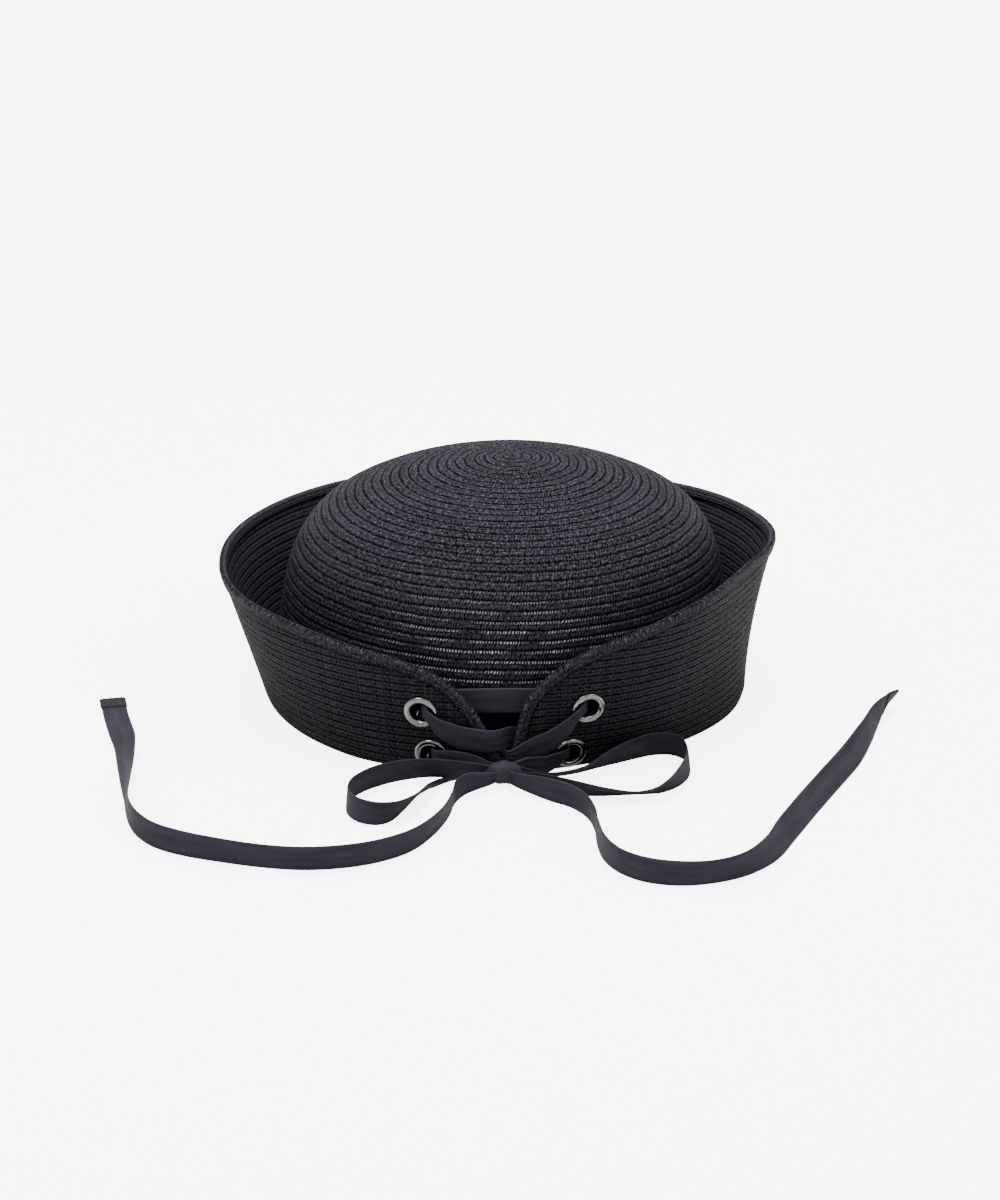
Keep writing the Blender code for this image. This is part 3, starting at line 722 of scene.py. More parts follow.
def new_tree(name, inputs):
    """A geometry tree with named sizes: the tree, its inputs by name and its output node."""
    tree = bpy.data.node_groups.new(name, "GeometryNodeTree")
    face = tree.interface
    face.new_socket("Geometry", in_out="INPUT", socket_type="NodeSocketGeometry")
    for label, kind in inputs:
        face.new_socket(label, in_out="INPUT", socket_type="NodeSocket" + kind)
    face.new_socket("Geometry", in_out="OUTPUT", socket_type="NodeSocketGeometry")
    given = tree.nodes.new("NodeGroupInput")
    return tree, {s.name: Field(s) for s in given.outputs}, tree.nodes.new("NodeGroupOutput")


def close_tree(tree, output, geometry, material):
    """End a tree in Realize Instances and Set Material."""
    real = field(tree, "GeometryNodeRealizeInstances", {"Geometry": geometry})
    plug(output.inputs[0], field(tree, "GeometryNodeSetMaterial",
                                 {"Geometry": real, "Material": material}))
    return tree


def grow(tree, seed_mesh, sizes):
    """Run a tree on a mesh with its named sizes and give back the plain mesh."""
    carrier = new_object(tree.name, seed_mesh)
    modifier = carrier.modifiers.new(tree.name, "NODES")
    modifier.node_group = tree
    for item in tree.interface.items_tree:
        if item.item_type == "SOCKET" and item.in_out == "INPUT" and item.name in sizes:
            modifier[item.identifier] = sizes[item.name]
    carrier.update_tag()
    bpy.context.view_layer.update()
    graph = bpy.context.evaluated_depsgraph_get()
    mesh = bpy.data.meshes.new_from_object(carrier.evaluated_get(graph))
    carrier.modifiers.clear()
    bpy.data.objects.remove(carrier, do_unlink=True)
    return mesh


def guide_mesh(name, points, edges=(), **vectors):
    """A mesh of bare points for a tree to read, with vector attributes."""
    mesh = bpy.data.meshes.new(name)
    mesh.from_pydata(np.asarray(points, float), edges, [])
    for key, values in vectors.items():
        layer = mesh.attributes.new(key, "FLOAT_VECTOR", "POINT")
        layer.data.foreach_set("vector", np.asarray(values, np.float32).ravel())
    return mesh


def grid_places(tree, lanes):
    """The step and the lane of each point of a grid that is numbered lane by lane."""
    index = field(tree, "GeometryNodeInputIndex")
    step = ((index + 0.5) / lanes).math("FLOOR")
    return step, index - step * lanes


def moved_and_welded(tree, sheet, spot, weld):
    """A grid with its points moved to their places and its seams welded."""
    moved = field(tree, "GeometryNodeSetPosition", {"Geometry": sheet, "Position": spot})
    return field(tree, "GeometryNodeMergeByDistance", {"Geometry": moved, "Distance": weld})


def spiral_tree(material):
    """Rows of braid wound in one spiral down an outline: points of the outline are the guide."""
    tree, g, out = new_tree("spiral_braid", [
        ("Row Pitch", "Float"), ("Relief", "Float"), ("Outline Length", "Float"),
        ("Turns", "Int"), ("Steps", "Int"), ("Centre X", "Float"), ("Lean", "Float"),
        ("Weld", "Float"), ("Sway", "Float"),
    ])
    sheet = field(tree, "GeometryNodeMeshGrid", {
        "Vertices X": g["Turns"] * g["Steps"] + 1.0, "Vertices Y": CROWN_LANES,
    })
    step, lane = grid_places(tree, CROWN_LANES)
    turn = step / g["Steps"]
    angle = turn * TAU
    sine, cosine = angle.math("SINE"), angle.math("COSINE")
    across = 1.0 - (1.0 - lane / (CROWN_LANES - 1)).math("POWER", 1.5)
    line = field(tree, "GeometryNodeMeshToCurve", {"Mesh": g["Geometry"]})

    def reach(share):
        raw = (turn + share - 1.0) * g["Row Pitch"]
        return raw.math("MAXIMUM", 0.0).math("MINIMUM", g["Outline Length"])

    def sample(length):
        node = add(tree, "GeometryNodeSampleCurve", {"Curves": line, "Length": length},
                   mode="LENGTH", use_all_curves=True)
        return split(Field(node.outputs["Position"])), split(Field(node.outputs["Tangent"]))

    # The rows sway, but not at the two ends of the outline
    straight = reach(across)
    sway = noise(combine(sine * 2.2, cosine * 2.2, straight * 90.0), 1.6, 1.0)
    ends = straight.math("MINIMUM", g["Outline Length"] - straight)
    ends = (ends * 60.0).math("MINIMUM", 1.0)
    length = straight + (sway - 0.5) * g["Sway"] * ends
    place, slope = sample(length)
    # Each row swells in its middle, and is flat at the crown's top and lower edge
    swell = (across.math("POWER", 0.8) * (TAU / 2)).math("SINE")
    swell = swell.math("MAXIMUM", 0.0).math("POWER", 0.6)
    near_top = (length * 1500.0).math("MINIMUM", 1.0)
    near_end = ((g["Outline Length"] - length) * 1000.0).math("MINIMUM", 1.0)
    lift = swell * g["Relief"] * (near_top * near_end)
    radius = place[0] - slope[2] * lift
    height = place[2] + slope[0] * lift
    x = radius * sine + (g["Centre X"] + g["Lean"] * height)
    spot = combine(x, radius * cosine * -1.0, height)
    # The texture runs in metres along the braid
    middle, _ = sample(reach(0.5))
    run = field(tree, "GeometryNodeAccumulateField",
                {"Value": middle[0] * TAU / g["Steps"], "Group ID": lane}, "Trailing")
    braid = field(tree, "GeometryNodeFieldOnDomain", {0: combine(run, across)},
                  data_type="FLOAT_VECTOR", domain="POINT")
    sheet = field(tree, "GeometryNodeStoreNamedAttribute",
                  {"Geometry": sheet, "Name": "braid", "Value": braid},
                  data_type="FLOAT2", domain="CORNER")
    return close_tree(tree, out, moved_and_welded(tree, sheet, spot, g["Weld"]), material)


def revolve_tree(material):
    """A closed ring from a guide outline: X is the radius and Z the height of each point."""
    tree, g, out = new_tree("revolved_ring", [("Steps", "Int"), ("Points", "Int"),
                                              ("Weld", "Float")])
    lanes = g["Points"] + 1.0
    sheet = field(tree, "GeometryNodeMeshGrid", {
        "Vertices X": g["Steps"] + 1.0, "Vertices Y": lanes,
    })
    step, lane = grid_places(tree, lanes)
    lane = (lane + 0.25).math("FLOORED_MODULO", g["Points"])
    angle = step / g["Steps"] * TAU
    radius, _, height = split(field(tree, "GeometryNodeSampleIndex", {
        "Geometry": g["Geometry"], "Value": field(tree, "GeometryNodeInputPosition"),
        "Index": lane.math("FLOOR"),
    }, data_type="FLOAT_VECTOR", domain="POINT"))
    spot = combine(radius * angle.math("COSINE"), radius * angle.math("SINE"), height)
    return close_tree(tree, out, moved_and_welded(tree, sheet, spot, g["Weld"]), material)


def stitch_tree(material):
    """Short rounded threads on the guide's points, each along its own direction."""
    tree, g, out = new_tree("stitches", [("Length", "Float"), ("Thickness", "Float")])
    bead = field(tree, "GeometryNodeMeshUVSphere", {"Segments": 8, "Rings": 6, "Radius": 0.5})
    scale = combine(g["Length"], g["Thickness"], g["Thickness"])
    bead = field(tree, "GeometryNodeTransform", {"Geometry": bead, "Scale": scale})
    along = field(tree, "GeometryNodeInputNamedAttribute", {"Name": "along"},
                  data_type="FLOAT_VECTOR")
    turned = field(tree, "FunctionNodeAlignRotationToVector", {"Vector": along}, axis="X")
    points = field(tree, "GeometryNodeMeshToPoints", {"Mesh": g["Geometry"]})
    placed = field(tree, "GeometryNodeInstanceOnPoints",
                   {"Points": points, "Instance": bead, "Rotation": turned})
    return close_tree(tree, out, placed, material)


# Materials

def new_material(name):
    """A material with its tree and its Principled shader."""
    material = bpy.data.materials.new(name)
    material.use_nodes = True
    return material, material.node_tree, material.node_tree.nodes["Principled BSDF"]


def shade(tint, factor):
    """A colour made darker or paler."""
    return tuple(c * factor for c in tint)


def mix(factor, first, second):
    """A mixed colour; first and second are fields or RGB triples."""
    node = add(factor.tree, "ShaderNodeMix", {0: factor}, data_type="RGBA")
    for key, value in ((6, first), (7, second)):
        plug(node.inputs[key], value if isinstance(value, Field) else (*value, 1.0))
    return Field(node.outputs[2])


def ramp(value, low, high, start=0.0, end=1.0):
    """A value stretched from low..high to start..end."""
    return field(value.tree, "ShaderNodeMapRange", {0: value, 1: low, 2: high, 3: start, 4: end})


def stretched(vector, scale):
    """A vector scaled on each axis."""
    return field(vector.tree, "ShaderNodeVectorMath", {0: vector, 1: scale}, operation="MULTIPLY")


def bumped(height, strength, distance):
    return field(height.tree, "ShaderNodeBump",
                 {"Height": height, "Strength": strength, "Distance": distance})


def straw_material(name, tint, tooth, halves, ridge_highlight, painted_sparkle, crown_painted_light):
    """Dark braided straw with painted sheen, sparkle and shade in its colour. UV X is metres along
    the row, UV Y goes from 0 to 1 across it.
    """
    material, tree, shader = new_material(name)
    uv = field(tree, "ShaderNodeUVMap", uv_map="braid")
    along, across, _ = split(uv)
    spot = field(tree, "ShaderNodeTexCoord", output="Object")
    place = split(spot)
    # Crossings of the braid, which slant the other way in each next strand
    wobble = noise(stretched(uv, (420.0, 2.0, 0.0)))
    slant = (across * (halves * 0.5)).math("PINGPONG", 1.0)
    phase = along * (1.0 / tooth) + slant * 0.9 + wobble * 1.6
    teeth = ramp((phase * TAU).math("SINE"), -1.0, 1.0)
    # Strands, their ridges and the seam between two rows
    strand = noise(stretched(uv, (1000.0, 1.3 * halves, 0.0)), detail=3.0)
    seam = across.math("MINIMUM", 1.0 - across) + (strand - 0.5) * 0.30
    groove_shade = ramp(seam, 0.0, 0.16)
    groove = (across * float(halves)).math("PINGPONG", 1.0)
    ridge = (groove * 3.14159).math("SINE").math("POWER", 0.7)
    height = teeth * 0.55 + (strand * 0.35 + ridge * 0.5)
    patch = noise(stretched(spot, (30.0, 30.0, 240.0)), detail=3.0)
    # Colour of the braid: partly the straw's own dark and pale strands, partly painted sheen
    light = teeth * 0.45 + (ramp(strand, 0.36, 0.64) * 0.60 + patch * 0.4)
    # Painted highlight: the ridges of the strands are painted paler
    light = light * (1.0 - ridge_highlight) + ridge * ridge_highlight
    base = mix(ramp(light, 0.42, 1.0), shade(tint, 0.12), shade(tint, 3.9))
    # Painted sparkle: pale specks where the glossy braid catches the light
    sparkle_noise = noise(stretched(uv, (800.0, 2.0 * halves, 3.7)), detail=1.0)
    sparkle_amount = ramp(sparkle_noise, 0.56, 0.66) * painted_sparkle
    if crown_painted_light:
        # Painted light: the sparkle is fainter on the sides of the crown than on its top, where
        # the light falls
        sparkle_amount = sparkle_amount * ramp(place[2], 0.060, 0.088, 0.55, 1.25)
    base = mix(sparkle_amount, base, shade(tint, 11.0))
    # Painted light: the side that faces the crown is painted paler, where the light falls on it
    facing = split(field(tree, "ShaderNodeNewGeometry", output="Normal"))
    inner = ramp(facing[0] * place[0] + facing[1] * place[1], -0.01, -0.05)
    base = mix(inner * ramp(light, 0.35, 0.9), base, shade(tint, 5.6))
    # Painted shade in the grooves between rows, less of it on the side that faces the crown
    base = mix(groove_shade.math("MAXIMUM", inner * 0.42), shade(tint, 0.15), base)
    if crown_painted_light:
        # Painted shade: the lowest rows, which lie in the groove of the brim, are painted smooth
        # and dark
        base = mix(ramp(place[2], 0.024, 0.032), shade(tint, 0.5), base)
        # Painted glints along the seams of the crown's lower rows at the laced back
        base = mix(painted_seam_glints(uv, across, place, teeth), base, (0.62, 0.62, 0.66))
    plug_all(shader, {
        "Base Color": base,
        "Roughness": ramp(strand, 0.3, 0.7, 0.50, 0.72),
        "Specular IOR Level": ramp(light, 0.35, 1.0, 0.0, 0.085) * groove_shade,
        "Normal": bumped(height, 1.0, 0.0006),
    })
    return material


def painted_seam_glints(uv, across, place, teeth):
    """Painted glints: pale specks along the seams of the crown's lower rows at the laced back."""
    low = ramp(place[2], 0.074, 0.050) * ramp(place[2], 0.031, 0.034)
    middle = ramp(place[0].math("ABSOLUTE"), 0.066, 0.018)
    back = ramp(place[1], -0.060, -0.086)
    ends = ramp((across - 0.24).math("ABSOLUTE"), 0.14, 0.07)
    broken = ramp(noise(stretched(uv, (700.0, 60.0, 0.0))), 0.46, 0.58)
    group = ramp(noise(stretched(uv, (75.0, 0.4, 0.0))), 0.40, 0.56)
    crest = ramp(teeth, 0.55, 0.85) * (broken * group)
    return low * middle * back * (ends * crest)


def satin_material(name, tint):
    """Black satin ribbon. UV X is metres along the strip, UV Y goes from 0 to 1 across it."""
    material, tree, shader = new_material(name)
    uv = field(tree, "ShaderNodeUVMap", uv_map="braid")
    along, across, _ = split(uv)
    rib = (along * (TAU / RIB_PITCH)).math("SINE")
    warp = noise(stretched(uv, (60.0, 70.0, 0.0)), detail=3.0)
    selvedge_and_highlight = ramp((across - 0.5).math("ABSOLUTE"), 0.44, 0.47)
    cloud = noise(stretched(uv, (40.0, 3.0, 0.0)))
    base = mix(ramp(cloud, 0.3, 0.7), shade(tint, 0.8), shade(tint, 1.25))
    # The edges are painted paler: partly the woven selvedge, partly painted highlight along the
    # edge
    base = mix(selvedge_and_highlight * 0.6, base, shade(tint, 2.2))
    # A tail's folded end is frayed, behind a line of painted shade where the fold starts
    hem = field(tree, "ShaderNodeAttribute", output="Fac", attribute_name="hem")
    streak = ramp(noise(stretched(uv, (1800.0, 9.0, 0.0))), 0.38, 0.62)
    base = mix(hem, base, mix(streak, (tint[1] * 0.35,) * 3, (tint[1] * 1.5,) * 3))
    base = mix(1.0 - (hem * 2.0 - 1.0).math("ABSOLUTE"), base, shade(tint, 0.15))
    plug_all(shader, {
        "Base Color": base,
        "Roughness": ramp(warp, 0.3, 0.7, 0.48, 0.62),
        "Specular IOR Level": 0.025,
        "Normal": bumped(rib * 0.25 + (warp * 0.6 + selvedge_and_highlight * 0.8), 0.35, 0.0002),
    })
    return material


def metal_material(name, tint):
    """Polished gunmetal with faint handling marks."""
    material, tree, shader = new_material(name)
    cloud = noise(field(tree, "ShaderNodeTexCoord", output="Object"), 500.0, 4.0)
    plug_all(shader, {
        "Base Color": mix(cloud, shade(tint, 0.85), shade(tint, 1.15)),
        "Metallic": 1.0,
        "Roughness": ramp(cloud, 0.3, 0.7, 0.12, 0.22),
        "Normal": bumped(cloud, 0.05, 0.0001),
    })
    return material


def thread_material(name, tint):
    """Twisted sewing thread."""
    material, tree, shader = new_material(name)
    ply = noise(field(tree, "ShaderNodeTexCoord", output="Object"), 4000.0, 1.0)
    plug_all(shader, {
        "Base Color": mix(ply, shade(tint, 0.7), shade(tint, 1.3)),
        "Roughness": 0.55,
    })
    return material


# Operators

class HAT_OT_crown(bpy.types.Operator):
    """Build the crown: one long braid wound in a spiral, with a plain inner face"""

    bl_idname = "hat.crown"
    bl_label = "Build Crown"

    def execute(self, context):
        straw = context.scene.hat_straw
        rows = [(r * straw.crown_radius, z * straw.crown_height) for r, z in CROWN_OUTLINE]
        rows[-1] = (rows[-1][0], straw.seam_height)
        outline = catmull(rows, 16)
        outline[0, 0] = 0.0
        length = float(run_along(outline)[-1])
        material = straw_material(
            "straw_crown", straw.straw_colour, straw.tooth,
            halves=2, ridge_highlight=0.18, painted_sparkle=0.7, crown_painted_light=True,
        )
        line = [(k, k + 1) for k in range(len(outline) - 1)]
        guide = guide_mesh("crown_outline", [(r, 0.0, z) for r, z in outline], line)
        mesh = grow(spiral_tree(material), guide, {
            "Row Pitch": straw.crown_pitch, "Relief": straw.relief, "Outline Length": length,
            "Turns": int(np.ceil(length / straw.crown_pitch)) + 1, "Steps": CROWN_STEPS,
            "Centre X": CROWN_CENTRE_X, "Lean": CROWN_LEAN, "Weld": 0.000012,
            "Sway": straw.sway,
        })
        self.add_inner_face(mesh, outline, straw.thickness)
        mesh.transform(Matrix.Translation(Vector(SHIFT)))
        fit(finish_mesh("crown_braid", mesh, material), "straw", "crown")
        return {"FINISHED"}

    def add_inner_face(self, mesh, outline, thickness):
        """Carry the lower edge up inside the crown to its middle."""
        tangent = unit(np.gradient(outline, axis=0))
        normal = np.stack([tangent[:, 1], -tangent[:, 0]], axis=-1)
        inner = outline + normal * thickness
        inner[0] = (0.0, outline[0, 1] - thickness)
        inner[-1] = (outline[-1, 0] - thickness, outline[-1, 1])
        bm = bmesh.new()
        bm.from_mesh(mesh)
        edges = [e for e in bm.edges if e.is_boundary]
        # The inner face is plain, so every sixth point of the outline is enough
        for r, z in inner[::-1][::6]:
            ring = bmesh.ops.extrude_edge_only(bm, edges=edges)
            edges = [e for e in ring["geom"] if isinstance(e, bmesh.types.BMEdge)]
            r = max(r, 1e-4)
            middle = CROWN_CENTRE_X + CROWN_LEAN * z
            for vertex in {v for e in edges for v in e.verts}:
                a = np.arctan2(vertex.co.x - CROWN_CENTRE_X - CROWN_LEAN * vertex.co.z,
                               -vertex.co.y)
                vertex.co = (middle + r * np.sin(a), -r * np.cos(a), z)
        bmesh.ops.holes_fill(bm, edges=edges, sides=0)
        bm.to_mesh(mesh)
        bm.free()


class HAT_OT_brim(bpy.types.Operator):
    """Build the brim: rows of braid from the fold up to the rim, with its four eyelet holes"""

    bl_idname = "hat.brim"
    bl_label = "Build Brim"

    def execute(self, context):
        straw = context.scene.hat_straw
        material = straw_material(
            "straw_brim", shade(straw.straw_colour, 0.8), straw.tooth * 0.8,
            halves=2, ridge_highlight=0.3, painted_sparkle=0.3, crown_painted_light=False,
        )
        stations = azimuths((-BACK_ARC, BACK_ARC, 0.4), (BACK_ARC, 360.0 - BACK_ARC, 1.2))
        count = len(stations)
        # Heights of the wall's points, as far up as the rim's highest point
        shares = np.array(BRIM_ROW_SHARES)
        highest = straw.brim_height * 1.2
        rows = int(np.ceil(highest / straw.brim_pitch))
        levels = (np.arange(rows)[:, None] + shares[None]).ravel() * straw.brim_pitch
        across = np.tile(shares, rows)
        turn, level = np.meshgrid(stations, straw.fold_height + levels, indexing="ij")
        top = rim_height(turn)
        height = np.minimum(level, top)
        middle = brim_point(turn, height)
        # Each row swells in its middle, and is flat at the rim and at the fold
        swell = np.sin(np.pi * across ** 0.85) ** 0.6
        fade = np.clip((top - height) / RIM_FADE, 0, 1) * np.clip(levels / FOLD_FADE, 0, 1)[None]
        half = straw.thickness / 2
        lift = half - WALL_INSET + straw.relief * BRIM_RELIEF * swell[None] * fade
        lift = brim_normal(turn, height) * lift[..., None]
        a = np.radians(stations)
        profile = self.underside(straw, stations, half)

        def ring(sign):
            out = [polar(r + sign * nr * half, a, np.full(count, max(z + sign * nz * half, 0.0)))
                   for r, z, nr, nz in profile]
            return np.stack(out, 1)

        loop = np.concatenate([
            (middle + lift)[:, ::-1], ring(1.0), ring(-1.0)[:, ::-1], middle - lift,
        ], axis=1)
        lanes = loop.shape[1]
        faces = grid_faces(count, lanes, True, True)
        radius = np.hypot(middle[..., 0], middle[..., 1]).mean()
        u = np.repeat(np.radians(stations + BACK_ARC) * radius, lanes)
        seat = np.full(2 * len(profile), 0.5)
        v = np.tile(np.concatenate([across[::-1], seat, across]), count)
        uvs = grid_uvs(faces, u, v, 2 * np.pi * radius)
        # A row's last sample runs up to the next row's first
        share = uvs[..., 1]
        jump = (share.max(1) > 0.8) & (share.min(1) < 0.05)
        uvs[..., 1] = np.where(jump[:, None] & (share < 0.05), 1.0, share)
        faces, uvs, points = self.cut_holes(
            faces, uvs, loop.reshape(-1, 3), lanes, len(levels), context.scene.hat_eyelets)
        fit(make_mesh("brim_braid", points, faces, material, uvs), "straw", "brim")
        return {"FINISHED"}

    def underside(self, straw, stations, half):
        """The fold, the flat seat and the lip below the crown's seam: radius and height of the
        middle of the wall, and the direction of its outer face."""
        a = np.radians(stations)
        fold = fold_radius(stations)
        seam = straw.crown_radius * CROWN_OUTLINE[-1][0] - half
        lip = CROWN_CENTRE_X * np.sin(a) + np.sqrt(seam ** 2 - (CROWN_CENTRE_X * np.cos(a)) ** 2)
        return [
            (fold - 0.0004, 0.00115, 0.75, -0.65),
            (fold - 0.0017, half, 0.0, -1.0),
            (lip + 0.0014, half, 0.0, -1.0),
            (lip + 0.00025, 0.0013, -0.85, -0.5),
            (lip, straw.seam_height - PIECE_GAP, -1.0, 0.0),
        ]

    def cut_holes(self, faces, uvs, points, lanes, count, eyelets):
        """Open a round hole through both faces of the wall at each eyelet."""
        radius = eyelets.hole + eyelets.barrel + HOLE_GAP
        number = np.arange(len(points))
        lane = number % lanes
        is_out = lane < count
        is_in = lane >= lanes - count
        twin = np.where(is_out, lanes - 1 - lane, -1) + (number // lanes) * lanes
        removed = np.zeros(len(faces), bool)
        points = points.copy()
        for _, azimuth, share in EYELETS:
            centre, axis, side, up = eyelet_frame(azimuth, share)
            offset = points - centre
            flat = np.stack([offset @ side, offset @ up], -1)
            distance = np.linalg.norm(flat, axis=1)
            wall = (is_out | is_in) & (np.abs(offset @ axis) < 0.004)
            gone = (wall & (distance < radius + 0.0002))[faces].all(1)
            removed |= gone
            # The points on the hole's edge move out to its round outline
            edge = np.zeros(len(points), bool)
            edge[np.unique(faces[gone])] = True
            kept = np.zeros(len(points), bool)
            kept[np.unique(faces[~removed])] = True
            rim = edge & kept
            scale = radius / np.maximum(distance[rim], 1e-9)
            move = flat[rim] * (scale - 1.0)[:, None]
            points[rim] += move[:, :1] * side + move[:, 1:] * up
        # A band of faces joins the wall's two faces round each hole
        gone_out = faces[removed]
        gone_out = gone_out[is_out[gone_out].all(1)]
        sides = {}
        for face in gone_out:
            for k in range(4):
                sides[(int(face[k]), int(face[(k + 1) % 4]))] = True
        bridge = np.array([
            (start, end, int(twin[end]), int(twin[start]))
            for start, end in sides if (end, start) not in sides
        ])
        blank = np.full((len(bridge), 4, 2), 0.5)
        return (np.vstack([faces[~removed], bridge]),
                np.concatenate([uvs[~removed], blank]), points)


class HAT_OT_binding(bpy.types.Operator):
    """Build the braid binding that is folded over the rim"""

    bl_idname = "hat.binding"
    bl_label = "Build Rim Binding"

    def execute(self, context):
        straw = context.scene.hat_straw
        material = straw_material(
            "straw_binding", straw.binding_colour, straw.tooth * 0.75,
            halves=6, ridge_highlight=0.35, painted_sparkle=0.6, crown_painted_light=False,
        )
        stations = azimuths((-BACK_ARC, -NOTCH_ARC, 0.4), (-NOTCH_ARC, NOTCH_ARC, 0.16),
                            (NOTCH_ARC, BACK_ARC, 0.4), (BACK_ARC, 360.0 - BACK_ARC, 0.9))
        depth = straw.binding_depth
        section = self.section(straw, depth)
        lanes = len(section)
        heights = rim_height(stations)
        here = brim_point(stations, heights)
        step = 0.15
        after = brim_point(stations + step, rim_height(stations + step))
        before = brim_point(stations - step, rim_height(stations - step))
        along = unit(after - before)
        # The way across the rim in the brim's wall, and the room that it has above the fold
        rise = here - brim_point(stations, heights - 0.0015)
        beyond = unit(rise - (rise * along).sum(-1, keepdims=True) * along)
        room = (heights - straw.fold_height - 0.0006) / np.maximum(beyond[:, 2], 0.15)
        reach = np.minimum(depth, room)
        radius = np.hypot(here[:, 0], here[:, 1])
        around = here[:, :2] / radius[:, None]
        points = []
        for offset, past, _ in section:
            b = past if past > 0 else past * reach / depth
            out = beyond * np.reshape(b, (-1, 1))
            z = heights + out[:, 2]
            turn = np.degrees((out[:, 1] * around[:, 0] - out[:, 0] * around[:, 1]) / radius)
            a = stations + turn
            points.append(brim_point(a, z) + brim_normal(a, z) * offset)
        points = np.stack(points, 1).reshape(-1, 3)
        run = run_along(here)
        faces = grid_faces(len(stations), lanes, True, True)
        u = np.repeat(run, lanes)
        v = np.tile([row[2] for row in section], len(stations))
        uvs = grid_uvs(faces, u, v, run[-1] + np.linalg.norm(here[0] - here[-1]))
        piece = make_mesh("rim_binding_braid", points, faces, material, uvs)
        fit(piece, "straw_binding", "rim_binding")
        return {"FINISHED"}

    def section(self, straw, depth):
        """Offset from the wall's middle, height past the rim, share across the binding."""
        inner = straw.thickness / 2 + BINDING_GAP
        outer = inner + straw.binding_thickness * BINDING_FILL
        cap = BINDING_GAP + straw.binding_thickness
        ridge = outer + BINDING_RIDGE
        side = [
            (outer - 0.0001, -depth, 0.0), (ridge, -depth * 0.78, 0.10),
            (outer, -depth * 0.5, 0.25), (ridge, -depth * 0.24, 0.36),
            (outer, -depth * 0.02, 0.42), (outer * 0.7, cap, 0.46),
        ]
        other = [(-offset, past, 1.0 - share) for offset, past, share in side[::-1]]
        return [
            (inner, -depth, 0.0), *side, (0.0, cap * 1.15, 0.5), *other,
            (-inner, -depth, 1.0), (-inner, 0.0002, 0.5), (inner, 0.0002, 0.5),
        ]


class HAT_OT_eyelets(bpy.types.Operator):
    """Build the four polished eyelets from one revolved outline"""

    bl_idname = "hat.eyelets"
    bl_label = "Build Eyelets"

    def execute(self, context):
        e = context.scene.hat_eyelets
        material = metal_material("gunmetal", e.metal_colour)
        tree = revolve_tree(material)
        outline = self.outline(e, context.scene.hat_straw.thickness / 2 + e.gap)
        for name, azimuth, share in EYELETS:
            guide = guide_mesh(name + "_outline", [(r, 0.0, z) for r, z in outline])
            mesh = grow(tree, guide, {"Steps": EYELET_STEPS, "Points": len(outline), "Weld": 1e-6})
            self.add_split_end(mesh, e.hole)
            centre, axis, side, up = eyelet_frame(azimuth, share)
            place = np.eye(4)
            place[:3] = np.stack([side, up, axis, centre + SHIFT], -1)
            mesh.transform(Matrix(place))
            fit(finish_mesh(name + "_ring", mesh, material), "gunmetal", name)
        return {"FINISHED"}

    def outline(self, e, seat):
        """Radius and height: up the washer and the barrel, and over the flange into the hole."""
        under = -seat - e.gap
        back = under - e.washer
        barrel = e.hole + e.barrel
        rows = [
            (e.hole, back), (e.hole + 0.0006, back - 0.0002), (e.outer * 0.80, back),
            (e.outer * 0.82, under), (barrel, under), (barrel, seat),
            (e.outer - EYELET_ROUNDING, seat),
        ]
        middle = (e.outer + e.hole) / 2 + EYELET_ROUNDING
        wide = (e.outer - e.hole) / 2 - EYELET_ROUNDING
        for t in np.radians(np.linspace(-10.0, 190.0, 17)):
            rows.append((middle + wide * np.cos(t), seat + 0.0002 + e.rise * 0.95 * np.sin(t)))
        return rows

    def add_split_end(self, mesh, hole):
        """The barrel's split end, a bright rounded tongue low in the hole."""
        bm = bmesh.new()
        bm.from_mesh(mesh)
        tongue = bmesh.ops.create_uvsphere(bm, u_segments=12, v_segments=8, radius=1.0)["verts"]
        for vertex in tongue:
            x, y, z = vertex.co * (hole * 0.1)
            vertex.co = (x - hole * 0.36 + 1.2 * y, y * 3.8 - hole * 0.28, z + hole * 0.12)
        bm.to_mesh(mesh)
        bm.free()


def ribbon_path(name, fine):
    """A strip's middle line, its upward and facing directions, its half width and its gather."""
    ribbon = bpy.context.scene.hat_ribbon
    path = catmull(ROUTES[name], fine)
    lean = np.radians(path[:, 3])
    half = path[:, 4] * ribbon.width / 2
    rise = np.abs(np.cos(lean)) * half + np.abs(np.sin(lean)) * ribbon.lie / 2
    centre = path[:, :3] + rise[:, None] * UPRIGHT
    flat = unit(np.gradient(centre[:, :2], axis=0))
    left = np.stack([-flat[:, 1], flat[:, 0], 0 * flat[:, 0]], -1)
    up = np.cos(lean)[:, None] * UPRIGHT + np.sin(lean)[:, None] * left
    face = -np.sin(lean)[:, None] * UPRIGHT + np.cos(lean)[:, None] * left
    return centre, up, face, half, path[:, 4]


